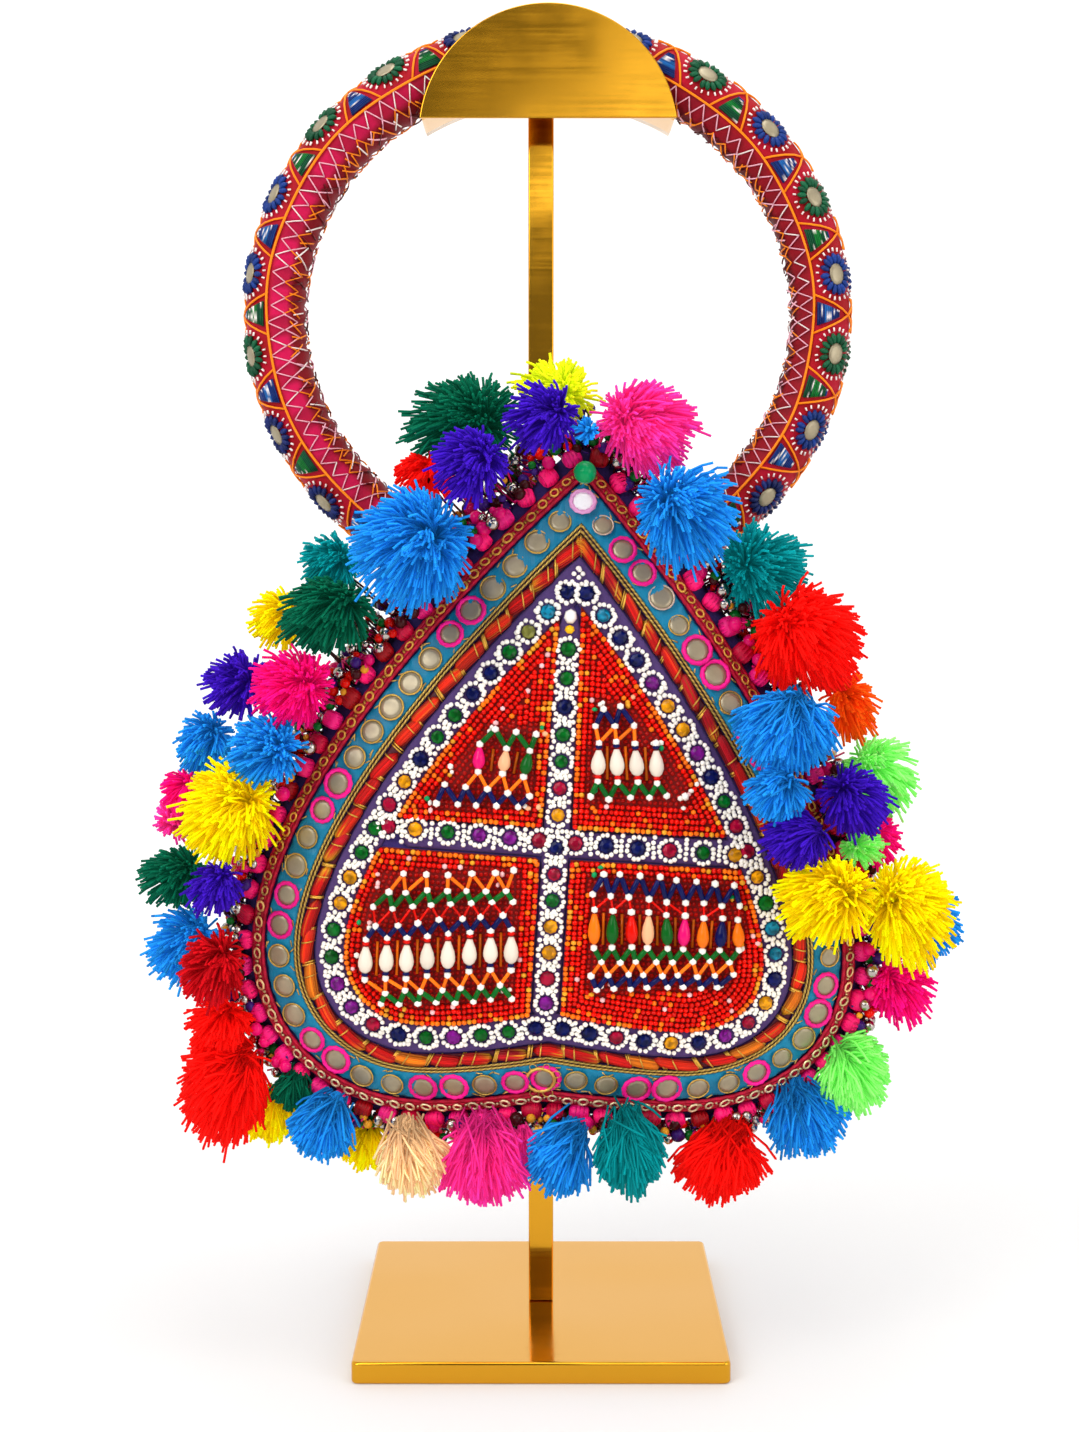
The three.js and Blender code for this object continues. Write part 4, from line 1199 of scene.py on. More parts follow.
    def zigzag(self, heap, rng, back, levels, names, odds):
        """Thread that runs to and fro between two levels on the tube."""
        count = 2 * round(4.5 * self.count)
        turn = 2 * np.pi * np.arange(count + 1) / count
        level = np.where(np.arange(count + 1) % 2, levels[1], levels[0]) + rng.uniform(-4, 4, count + 1)
        share = np.linspace(0, 1, 4)
        tooth = turn[:-1, None] + np.diff(turn)[:, None] * share
        angle = self.twist(tooth, level[:-1, None] + np.diff(level)[:, None] * share, back)
        lift = 0.6 + self.pucker(tooth, np.radians(angle))
        tone = shade(THREADS, rng.choice(names, count, p=odds))
        heap.lay(self.at(tooth, angle, lift), self.thread * 0.72, tone, 3)

    def sleeve(self, p, q):
        """A short tube of the pouch cloth round the ring's lowest part, closed at both ends onto the ring."""
        turn = 1.5 * np.pi + SLEEVE["half_turn"] * 2 * np.pi * (2 * np.clip(p * 1.2 - 0.1, 0, 1) - 1)
        ends = np.minimum(1, np.minimum(p, 1 - p) / (1 / 32 * 3))
        folds = 0.3 * np.sin(2 * np.pi * 5 * q + 9 * p) * ends
        lift = 0.2 + (GAP + SLEEVE["wall"]) * np.sqrt(ends) + folds
        return ring_point(turn, 2 * np.pi * q, lift)


class POTLI_OT_rim(Operator):
    """Thread-wrapped beads on the rim, and the crimson piping with its gold rings"""

    bl_idname = "potli.rim"
    bl_label = "Rim"

    def execute(self, context):
        sizes = context.scene.potli_sizes
        rng = np.random.default_rng(11)
        pitch = sizes.wrapped_bead / MM
        s = stepped(EDGE_INSET, 1.25 * pitch, pitch)
        count = len(s)
        heap = Heap()
        bead = modelled(lambda: round_bead(10, 8))
        bead["points"] = np.sign(bead["points"]) * np.abs(bead["points"]) ** 0.72
        here, axes = seat(s, EDGE_INSET + rng.uniform(-0.7, 0.7, count), 3.6)
        swung = self.swung(rng, axes, 0.22)
        shape = np.array([4.0, 3.7, 3.4]) * rng.uniform(0.88, 1.08, (count, 3))
        names = rng.choice(["neon", "pink", "hot_pink", "scarlet"], count, p=[0.5, 0.22, 0.18, 0.1])
        heap.stamp(bead, here, swung * shape[:, :, None], varied(rng, shade(THREADS, names), 0.15))
        self.winding(heap, rng, here, swung, shape, shade(THREADS, names))
        keep(heap.piece("edge_bead_string", finish("thread")), "wrapped_beads", "edge_beads")
        self.piping(rng)
        return {"FINISHED"}

    def swung(self, rng, axes, spread):
        """Axes turned a little by chance on the cloth."""
        along = unit(axes[:, 0] + rng.normal(0, spread, (len(axes), 1)) * axes[:, 1])
        return np.stack([along, unit(np.cross(axes[:, 2], along)), axes[:, 2]], axis=1)

    def winding(self, heap, rng, here, axes, shape, tones):
        """A few threads stand out on each bead, wound across it."""
        angle = np.linspace(-0.1, np.pi + 0.1, 6)
        for share in np.linspace(-0.75, 0.75, 5):
            wide = (1 - abs(share) ** 3) ** 0.5
            turn = np.stack([np.cos(angle), np.sin(angle)], axis=1)
            local = np.column_stack([np.full(6, share), 1.03 * wide * turn])
            lines = np.einsum("mnk,mkj->mnj", local[None] * shape[:, None], axes) + here[:, None]
            heap.lay(lines, 0.5, varied(rng, tones, 0.35), 3, up=(1.0, 0.2, 0.3))

    def piping(self, rng):
        crimson, dark = shade(THREADS, ["crimson", "satin"])
        cords = []
        for number, inset in enumerate(PIPING_INSETS):
            def strand(p, around):
                lobes = 1 + 0.12 * np.cos(2 * (around - 2 * np.pi * 120 * p))
                return inset + 0.85 * lobes * np.cos(around), 2.3 + 0.85 * lobes * np.sin(around)

            def tint(p, q):
                twist = 0.6 + 0.5 * np.sin(2 * np.pi * (150 * p + q + 0.3 * number))
                return dark + (crimson - dark) * twist[:, None]

            cords.append(loop_strip(f"piping_{number}", strand, 600, 5, finish("thread"), tint))
        keep(joined("piping_cords", cords), "piping_cloth", "piping")
        heap = Heap()
        s = stepped(0.4, 6.2, 6.2)
        count = len(s)
        here, axes = seat(s, 0.2 + rng.uniform(-0.4, 0.4, count), 3.5)
        low = np.clip((here[:, 2].mean() - here[:, 2]) / 90, 0, 1)[:, None]
        gold, cream = rgb("#d8a044"), rgb("#f0dcae")
        tone = varied(rng, gold + (cream - gold) * low, 0.2)
        ring = modelled(lambda: wound_ring(0.3, 8, 5, False))
        swung = self.swung(rng, axes, 0.35)
        shape = np.array([1.9, 1.5, 1.6]) * rng.uniform(0.85, 1.15, (count, 3))
        heap.stamp(ring, here, swung * shape[:, :, None], tone)
        between, _ = seat(s + 0.5 / count, 0.2 + rng.uniform(-0.5, 0.5, count), 3.2)
        ends = np.array([-0.7, 0.7])[None, :, None] * swung[:, 1:2]
        heap.lay(between[:, None] + ends, 0.5, tone * 0.7, 5)
        keep(heap.piece("piping_gold_rings", finish("metal_thread")), "metal_thread")


class POTLI_OT_mirror_band(Operator):
    """Teal satin band with mirrors held by gold or pink thread rims"""

    bl_idname = "potli.mirror_band"
    bl_label = "Mirror band"

    # Rims in order, clockwise from the point: white apex, pale, pink, gold
    RIGHT = "W L P P L G P P G P P G G P P G G G P P G G P G G P P G".split()
    LEFT = "G G G G P P G G G G G P P G G P P G G G P P G G P P G P P G".split()

    def execute(self, context):
        sizes = context.scene.potli_sizes
        rng = np.random.default_rng(13)
        satin = loop_strip("mirror_band_satin", self.section, 600, 14, finish("band"))
        keep(satin, "mirror_band", "mirror_band")
        kinds = np.array(self.RIGHT + self.LEFT[::-1])
        count = len(kinds)
        s = round_loop(MIRROR_INSET, count)
        here, axes = seat(s, MIRROR_INSET + rng.uniform(-0.5, 0.5, count), 2.0)
        here[0] = hung(face(FRONT, 0.0, MIRROR_INSET + 0.7, 2.6))
        radius = sizes.mirror / MM / 2 * rng.uniform(0.88, 1.1, count)
        glass = modelled(lambda: turned([(0.97, 0), (1, 0.08), (0.97, 0.2), (0.6, 0.23)], 16))
        heap = Heap()
        deep = np.stack([radius, radius, 0 * radius + 4], axis=1)[:, :, None]
        heap.stamp(glass, here[1:], axes[1:] * deep[1:], np.ones(3), 1)
        heap.stamp(glass, here[:1], axes[:1] * deep[:1], np.ones(3), 0)
        rims = {"P": ("#f0148a", 0.21, 1.16), "G": ("#c8a24c", 0.09, 1.05), "L": ("#d8c0a8", 0.1, 1.06),
                "W": ("#e8a0d0", 0.22, 1.1)}
        for kind, (code, thick, wide) in rims.items():
            rim = modelled(lambda: wound_ring(thick, 24, 5))
            mine = kinds == kind
            scale = radius[mine] * wide
            lift = here[mine] + 0.8 * axes[mine, 2]
            tone = varied(rng, rgb(code), 0.15, mine.sum())
            heap.stamp(rim, lift, axes[mine] * scale[:, None, None], tone, 0 if kind in "PW" else 2)
        mirrors = heap.piece("band_mirrors", finish("thread"), finish("mirror"), finish("metal_thread"))
        keep(mirrors, "mirror_band")
        self.stitches(rng)
        self.medallion(rng)
        return {"FINISHED"}

    def medallion(self, rng):
        """A gold cluster of rings and twisted wire round the lowest mirror."""
        here, axes = seat(np.array([0.503]), MIRROR_INSET - 0.5, 3.2)
        ring = modelled(lambda: wound_ring(0.16, 24, 6))
        heap = Heap()
        gold = rgb("#dcb050")
        heap.stamp(ring, here, axes * 5.6, gold)
        for turn in np.linspace(0.3, 2 * np.pi + 0.3, 9)[:-1]:
            spot = here + 7.0 * (math.cos(turn) * axes[:, 0] + math.sin(turn) * axes[:, 1])
            heap.stamp(ring, spot, axes * rng.uniform(1.3, 2.1), gold * rng.uniform(0.6, 1.1))
        keep(heap.piece("band_medallion", finish("metal_thread")), "metal_thread")

    def section(self, p, around):
        inset = MIRROR_INSET + 6.2 * band_across(around)
        turn = 2 * np.pi * p
        pull = 0.35 * np.sin(131 * turn + 0.5 * inset) + 0.3 * np.sin(47 * turn - 0.8 * inset)
        return inset, 0.35 + np.maximum(0, np.sin(around)) ** 0.4 * (1.7 + pull)

    def stitches(self, rng):
        """Short gold stitches scattered between the mirrors."""
        count = 150
        s = rng.uniform(0, 1, count)
        inset = MIRROR_INSET + rng.choice([-5.0, 5.0], count) + rng.uniform(-0.6, 0.6, count)
        here, axes = seat(s, inset, 2.2)
        way = unit(axes[:, 0] + rng.uniform(-1, 1, (count, 1)) * axes[:, 1])
        lines = here[:, None] + np.array([-1.3, 0, 1.3])[None, :, None] * way[:, None]
        heap = Heap()
        heap.lay(lines, 0.3, varied(rng, rgb("#d8b060"), 0.3, count), 4)
        keep(heap.piece("band_gold_stitches", finish("metal_thread")), "metal_thread")


class POTLI_OT_cords(Operator):
    """Fine gold cords, and the braid of satin-wound pieces inside them"""

    bl_idname = "potli.cords"
    bl_label = "Gold cords and braid"

    def execute(self, context):
        gold, dark = rgb("#e0bc60"), rgb("#6a5220")

        # Painted shade and highlight: the cord is dark in the grooves between its plies and bright on their
        # crowns, in step with the lobes of its section.
        def tint(p, q):
            return dark + (gold - dark) * (0.5 + 0.5 * np.cos(2 * np.pi * (2 * q - 300 * p)))[:, None] ** 0.6

        cords = []
        for number, inset in enumerate(CORD_INSETS):
            def cord(p, around):
                lobes = 1 + 0.14 * np.cos(2 * around - 2 * np.pi * 300 * p)
                return inset + 0.58 * lobes * np.cos(around), 1.5 + 0.58 * lobes * np.sin(around)

            cords.append(loop_strip(f"gold_cord_{number}", cord, 900, 5, finish("metal_thread"), tint))
        keep(joined("gold_cords", cords), "metal_thread", "gold_cord")
        self.braid()
        return {"FINISHED"}

    def braid(self):
        def ground(p, around):
            return BRAID_INSET + 2.6 * np.cos(around), 0.4 + 0.5 * (1 + np.sin(around))

        def dark(p, q):
            return np.tile(rgb("#4a0c1c"), (len(p), 1))

        # A near-black strip under the pieces: painted shade that shows in the gaps between them.
        base = loop_strip("braid_shadow_strip", ground, 300, 8, finish("thread"), dark)
        rng = np.random.default_rng(29)
        heap = Heap()
        s = stepped(BRAID_INSET, 13.5, 13.5)
        count = len(s)
        middle = s + rng.uniform(-0.15, 0.15, count) / count
        reach = rng.uniform(0.5, 0.72, count) / count
        share = np.linspace(-1, 1, 7)
        shape = (1 - share ** 4) ** 0.5
        codes = rng.choice(["#d4100c", "#e2280a", "#f07c10", "#b80c1c"], count, p=[0.52, 0.18, 0.08, 0.22])
        tones = np.array([rgb(code) for code in codes])
        lean = rng.uniform(0.5, 1.5, (count, 1))
        ripens = rng.choice([-1.2, 0.0, 1.2], (count, 1), p=[0.25, 0.5, 0.25])
        amber = rgb("#f8b018")
        middle_inset = BRAID_INSET + 0.1
        for offset in np.linspace(-1, 1, 8):
            inset = middle_inset + 2.1 * offset * shape + lean * share
            lift = 1.2 + 1.9 * math.sqrt(1 - 0.8 * offset ** 2) * shape
            lines = hung(face(FRONT, middle[:, None] + reach[:, None] * share, inset, lift + 0 * inset))
            strands = varied(rng, tones, 0.4)[:, None] * np.ones((1, len(share), 1))
            shadow = (1 - 0.62 * offset ** 2) * (1 - 0.6 * share ** 4)
            turning = np.clip(share * ripens + rng.uniform(-0.9, 0.2, (count, 1)), 0, 1)[..., None]
            strands = (strands + (amber - strands) * turning) * shadow[:, None]
            heap.lay(lines, 0.46 * np.maximum(shape, 0.3), strands, 4)
        pieces = heap.piece("braid_pieces", finish("thread"))
        keep(joined("wound_braid", [base, pieces]), "wound_braid", "braid")
        ties = Heap()
        for place in (-0.5, -0.46, -0.42, 0.2):
            at = s[:, None] + (place + rng.uniform(-0.02, 0.02, (count, 1))) / count + 0 * share
            lift = 1.0 + (2.9 if place > 0 else 1.6) * (1 - share ** 2) ** 0.5
            lines = hung(face(FRONT, at, middle_inset + 2.7 * share + 0 * at, lift + 0 * at))
            ties.lay(lines, 0.32, varied(rng, rgb("#e0b048"), 0.25, count), 4)
        keep(ties.piece("braid_gold_ties", finish("metal_thread")), "metal_thread")


class POTLI_OT_trellis(Operator):
    """Dusky ribbon frame and cross, with rosettes of white beads round coloured stones"""

    bl_idname = "potli.trellis"
    bl_label = "Trellis"

    def execute(self, context):
        self.sizes = context.scene.potli_sizes
        ribbon = finish("ribbon")
        frame_strip = loop_strip("ribbon_frame", self.section, 360, 12, ribbon)
        column = wrapped("ribbon_column", 60, 10, self.bar(False), ribbon)
        bar = wrapped("ribbon_bar", 60, 10, self.bar(True), ribbon)
        keep(joined("trellis_ribbon", [frame_strip, column, bar]), "ribbon", "trellis")
        self.rosettes()
        return {"FINISHED"}

    def section(self, p, around):
        inset = RIBBON_INSET + 6.3 * band_across(around)
        return inset, 0.3 + 1.2 * np.maximum(0, np.sin(around)) ** 0.5

    def bar(self, level):
        """A flat bar of the cross, as a closed loop round its section."""
        low, high = (-64.0, 74.0) if level else (-92.0, 74.0)

        def place(p, q):
            along = low + (high - low) * p
            around = 2 * np.pi * q
            end = np.minimum(1, np.minimum(p, 1 - p) * 40)
            across = CROSS["half_width"] * band_across(around) * end
            lift = 0.3 + 1.3 * np.maximum(0, np.sin(around)) ** 0.5 * end
            narrow = np.clip((80 - along) / 20, 0.3, 1)
            u, v = (along, CROSS["v"] + across) if level else (CROSS["u"] + across * narrow, along)
            return hung(inside(FRONT, u, v, lift))

        return place

    def rosettes(self):
        rng = np.random.default_rng(17)
        names = BORDER_RIGHT + BORDER_LEFT[::-1]
        border = seat(round_loop(BORDER_INSET, len(names), 0.5), BORDER_INSET, 2.0)
        heights = np.array([v for _, v in COLUMN_ROWS])
        column = inner_seat(np.full(len(heights), CROSS["u"]), heights, 2.0)
        across = np.array([u for _, u in BAR_ROWS])
        bar = inner_seat(across, CROSS["v"] + BAR_RAISE - 0.02 * across, 2.0)
        here, axes = (np.concatenate(parts) for parts in zip(border, column, bar))
        names = names + [name for name, _ in COLUMN_ROWS + BAR_ROWS]
        heap = Heap()
        self.stones(heap, rng, here, axes, names)
        self.rings(heap, rng, here, axes)
        self.spacers(heap, rng)
        keep(heap.piece("rosette_beads", finish("glass")), "glass_beads")

    def stones(self, heap, rng, here, axes, names):
        stone = modelled(
            lambda: turned([(0.8, -0.3), (1, 0.15), (0.86, 0.55), (0.45, 0.78)], 8), smooth=False
        )
        radius = self.sizes.stone / MM / 2
        scale = np.array([radius, radius, 2.2]) * rng.uniform(0.92, 1.08, (len(here), 1))
        # Cut glass: painted glints, each point's colour lighter or darker by chance, so that the facets seem
        # to catch the light.
        painted_glints = rng.uniform(0.25, 1.35, (len(here), len(stone["points"]), 1))
        heap.stamp(stone, here, axes * scale[:, :, None], shade(BEADS, names)[:, None] * painted_glints)

    def rings(self, heap, rng, here, axes):
        bead = modelled(lambda: round_bead(7, 4))
        around = 13
        radius = self.sizes.rosette_ring / MM
        size = self.sizes.seed_bead / MM / 2 * 1.02
        for k in range(around):
            turn = 2 * np.pi * (k + rng.uniform(-0.18, 0.18, len(here))) / around
            wide = radius * rng.uniform(0.95, 1.07, len(here))
            out = (wide * np.cos(turn))[:, None] * axes[:, 0] + (wide * np.sin(turn))[:, None] * axes[:, 1]
            places = here + out + rng.uniform(0.3, 0.8, (len(here), 1)) * axes[:, 2]
            scale = size * rng.uniform(0.9, 1.1, (len(here), 3))
            white = varied(rng, shade(BEADS, ["white"]), 0.07, len(here))
            heap.stamp(bead, places, axes * scale[:, :, None], white)

    def spacers(self, heap, rng):
        """Small clusters of white beads between the rosettes."""
        bead = modelled(lambda: round_bead(7, 4))
        size = self.sizes.seed_bead / MM / 2
        count = 2 * len(BORDER_RIGHT)
        spots = []
        for start, shift in ((-0.06, -3.4), (0.06, -3.4), (0.0, -1.4), (0.0, 0.9), (0.0, 3.2)):
            spots.append(seat(round_loop(BORDER_INSET, count, start), BORDER_INSET + shift, 2.4))
        column = [0.5 * (a[1] + b[1]) for a, b in zip(COLUMN_ROWS, COLUMN_ROWS[1:])]
        bars = [0.5 * (a[1] + b[1]) for a, b in zip(BAR_ROWS, BAR_ROWS[1:])]
        for shift in (-3.8, -1.9, 0.0, 1.9, 3.8):
            spots.append(inner_seat(np.full(len(column), CROSS["u"] + shift), column, 2.4))
            spots.append(inner_seat(bars, np.full(len(bars), CROSS["v"] + BAR_RAISE + shift), 2.4))
        spots.append(seat(np.array([-0.004, 0.0, 0.004]), BORDER_INSET - 3.4, 2.4))
        spots.append(seat(np.array([-0.008, 0.008]), BORDER_INSET - 1.6, 2.4))
        for places, axes in spots:
            white = varied(rng, shade(BEADS, ["white"]), 0.07, len(places))
            shake = rng.uniform(-0.3, 0.3, (len(places), 3))
            heap.stamp(bead, places + shake, axes * size, white)
        top, axes = inner_seat([CROSS["u"], CROSS["u"]], [68.4, 63.4], 2.8)
        scale = np.array([[2.6, 3.0, 2.4], [2.0, 1.8, 1.8]])
        heap.stamp(bead, top, axes * scale[:, :, None], shade(BEADS, ["white", "yellow"]))


class POTLI_OT_panels(Operator):
    """Four fields of red seed beads with orange borders, and nets of tube beads and drops over them"""

    bl_idname = "potli.panels"
    bl_label = "Bead panels"

    def execute(self, context):
        self.pitch = context.scene.potli_sizes.seed_bead / MM
        self.bead = modelled(lambda: round_bead(6, 4))
        profile = [(0.3, 0), (0.72, 0.1), (0.98, 0.28), (1, 0.42), (0.86, 0.64), (0.58, 0.84), (0.36, 1)]
        self.drop = modelled(lambda: turned(profile, 12))
        for name, side_u, side_v in (
            ("top_left", -1, 1), ("top_right", 1, 1), ("bottom_left", -1, -1), ("bottom_right", 1, -1),
        ):
            outline = self.outline(side_u, side_v)
            ground = self.ground(name, outline)
            heap = Heap()
            rng = np.random.default_rng(19 + side_u + 2 * side_v)
            window = np.array(NET_WINDOWS[name], float)
            self.field(heap, rng, outline, window)
            self.net(heap, rng, NETS[name])
            self.chips(heap, rng, window)
            beads = heap.piece(f"bead_field_{name}", finish("glass"))
            keep(ground, "glass_beads", f"bead_panel_{name}")
            keep(beads, "glass_beads")
        return {"FINISHED"}

    def clip(self, points, keep_side):
        """The part of a closed outline where keep_side is positive."""
        cut = []
        for here, there in zip(points, np.roll(points, -1, axis=0)):
            a, b = keep_side(here), keep_side(there)
            if a >= 0:
                cut.append(here)
            if a * b < 0:
                cut.append(here + (there - here) * a / (a - b))
        return np.array(cut)

    def outline(self, side_u, side_v):
        frame_line = face(FRONT, np.linspace(0, 1, 160, endpoint=False), PANEL_INSET)[:, [0, 2]]
        edge = CROSS["half_width"] + 0.5
        lean = 0.022 if side_v > 0 else 0
        half = self.clip(
            frame_line, lambda p: side_u * (p[0] - CROSS["u"]) - edge + lean * (p[1] - CROSS["v"])
        )
        return self.clip(half, lambda p: side_v * (p[1] - CROSS["v"]) - edge)

    def sense(self, outline):
        """1 for an outline that runs anticlockwise, -1 for one that runs clockwise."""
        after = np.roll(outline, -1, axis=0)
        return np.sign(np.sum(outline[:, 0] * after[:, 1] - outline[:, 1] * after[:, 0]))

    def drawn_in(self, outline, by):
        """The outline moved inwards by a distance, for an outline that bulges everywhere."""
        around = np.roll(outline, -1, axis=0) - outline
        inward = unit(np.stack([-around[:, 1], around[:, 0]], axis=1)) * self.sense(outline)
        shape = outline
        for start, normal in zip(outline, inward):
            if len(shape) < 3:
                break
            shape = self.clip(shape, lambda p: float((p - start) @ normal) - by)
        return shape

    def ground(self, name, outline):
        loop = spaced(np.vstack([outline, outline[:1]]), 96)
        middle = outline.mean(axis=0)

        def place(p, q):
            at = p * 96
            i = np.minimum(at.astype(int), 95)
            edge = loop[i] + (loop[i + 1] - loop[i]) * (at - i)[:, None]
            share = np.clip((q - 0.12) / 0.88, 0, 1)[:, None]
            spot = edge + (middle - edge) * share
            lift = 0.5 + 1.6 * np.clip(q / 0.12, 0, 1)
            return hung(inside(FRONT, spot[:, 0], spot[:, 1], lift))

        made = wrapped(f"panel_ground_{name}", 96, 16, place, finish("felt"), closed=False)
        face_out(made, FRONT["way"])
        return made

    def field(self, heap, rng, outline, window):
        """Rows of seed beads follow the panel's edge; those behind the nets lie deeper, and painted shade
        darkens them.
        """
        depth = 0
        by = 1.1
        while True:
            loop = self.drawn_in(outline, by)
            if len(loop) < 3:
                break
            closed = np.vstack([loop, loop[:1]])
            count = int(step_lengths(closed).sum() / (self.pitch * 0.98))
            if count < 4:
                break
            spots = spaced(closed, count)[:-1] + rng.normal(0, 0.12, (count, 2))
            sunk_and_shaded = self.within(window, spots) if depth > 1 else np.zeros(count, bool)
            self.row(heap, rng, spots, depth, sunk_and_shaded)
            depth += 1
            by += self.pitch * 1.06

    def row(self, heap, rng, spots, depth, sunk_and_shaded):
        here, axes = inner_seat(spots[:, 0], spots[:, 1], np.where(sunk_and_shaded, 1.5, 2.7))
        odds = ([0.4, 0.44, 0.16, 0.0], [0.82, 0.14, 0.03, 0.01], [0.91, 0.07, 0.0, 0.02])[min(depth, 2)]
        names = rng.choice(["red", "orange", "gold", "pale_pink"], len(spots), p=odds)
        names[sunk_and_shaded] = "red"
        scale = 1.08 * self.pitch / 2 * rng.uniform(0.92, 1.1, (len(spots), 3))
        # Painted shade: beads under the nets are darkened.
        tone = varied(rng, shade(BEADS, names), 0.2) * np.where(sunk_and_shaded, 0.56, 1.0)[:, None]
        heap.stamp(self.bead, here, axes * scale[:, :, None], tone)

    def chips(self, heap, rng, window):
        """Pale glass chips in the corners of the window."""
        middle = window.mean(axis=0)
        corners = np.repeat(window, 3, axis=0)
        spots = corners + (middle - corners) * rng.uniform(0.02, 0.2, (len(corners), 1))
        spots = spots + rng.normal(0, 2.2, spots.shape)
        here, axes = inner_seat(spots[:, 0], spots[:, 1], 3.4)
        odds = {"white": 0.35, "pale_pink": 0.25, "peach": 0.15, "jade": 0.1, "gold": 0.15}
        names = rng.choice(list(odds), len(spots), p=list(odds.values()))
        scale = 1.1 * rng.uniform(0.8, 1.25, (len(spots), 3))
        heap.stamp(self.bead, here, axes * scale[:, :, None], shade(BEADS, names))

    def within(self, window, spots):
        """Which spots lie inside all the sides of the window."""
        every = np.ones(len(spots), bool)
        sense = self.sense(window)
        for a, b in zip(window, np.roll(window, -1, axis=0)):
            turn = (b - a)[0] * (spots - a)[:, 1] - (b - a)[1] * (spots - a)[:, 0]
            every &= turn * sense > 0
        return every

    def net(self, heap, rng, rows):
        """Rows of white beads, each hung from the row above by tube beads or drops."""
        above = None
        for link, count, first, last in rows:
            share = np.linspace(0, 1, count)[:, None]
            spots = np.array(first) + (np.array(last) - np.array(first)) * share
            spots = spots + rng.normal(0, 0.35, spots.shape)
            here, axes = inner_seat(spots[:, 0], spots[:, 1], 5.2)
            scale = 1.55 * rng.uniform(0.92, 1.1, (count, 3))
            heap.stamp(self.bead, here, axes * scale[:, :, None], shade(BEADS, ["white"] * count))
            if link.endswith("drops"):
                self.drops(heap, rng, above, here, axes, link)
            elif above is not None:
                self.bugles(heap, rng, above, here, link)
            above = here

    def bugles(self, heap, rng, above, below, name):
        """Tube beads zigzag between the two rows of white beads."""
        every = np.concatenate([above, below])
        order = np.argsort(every[:, 0])
        line = every[order]
        top = order < len(above)
        ends = np.stack([line[:-1], line[1:]], axis=1)[top[:-1] != top[1:]]
        way = ends[:, 1] - ends[:, 0]
        share = np.array([0.16, 0.2, 0.8, 0.84])[None, :, None]
        tubes = ends[:, :1] + way[:, None] * share
        tone = varied(rng, shade(BEADS, [name]), 0.2, len(tubes))
        thick = {"red": 0.5, "orange": 0.8}.get(name, 1.15)
        heap.lay(tubes, thick * np.array([0.8, 1.0, 1.0, 0.8]), tone, 6)

    def drops(self, heap, rng, above, below, axes, kind):
        """A drop hangs between a bead above and a bead below, with a collar at each end."""
        way = below - above
        span = np.linalg.norm(way, axis=1)
        down = way / span[:, None]
        off = axes[:, 2]
        across = unit(np.cross(down, off))
        count = len(above)
        white = kind == "white_drops"
        reach, wide = (0.7, 2.9) if white else (0.84, 2.45)
        bright = BRIGHT_DROPS[:count] if count > 3 else ["magenta", "peach", "leaf"]
        names = ["ivory"] * count if white else bright
        start = below - way * (0.16 if white else 0.1)
        axes_now = np.stack([across * wide, np.cross(across, down) * wide, -way * reach * 0.94], axis=1)
        heap.stamp(self.drop, start, axes_now, varied(rng, shade(BEADS, names), 0.05))
        if white:
            collar = np.stack([across * 1.6, np.cross(across, down) * 1.6, down * 0.9], axis=1)
            upper, lower = ("navy", "red") if count < 5 else ("red", "navy")
            for share, name in ((0.1, upper), (0.88, lower)):
                heap.stamp(self.bead, above + way * share, collar, shade(BEADS, [name] * count))
        middle = 0.5 * (above[:-1] + above[1:])
        foot = 0.5 * (below[:-1] + below[1:])
        step = np.array([0.1, 0.5, 0.95])[None, :, None]
        strands = middle[:, None] + (foot - middle)[:, None] * step - 2.4 * off[:-1, None]
        amber = varied(rng, shade(BEADS, ["orange"]) * 0.7, 0.4, len(middle))
        heap.lay(strands, 0.6, amber, 6)


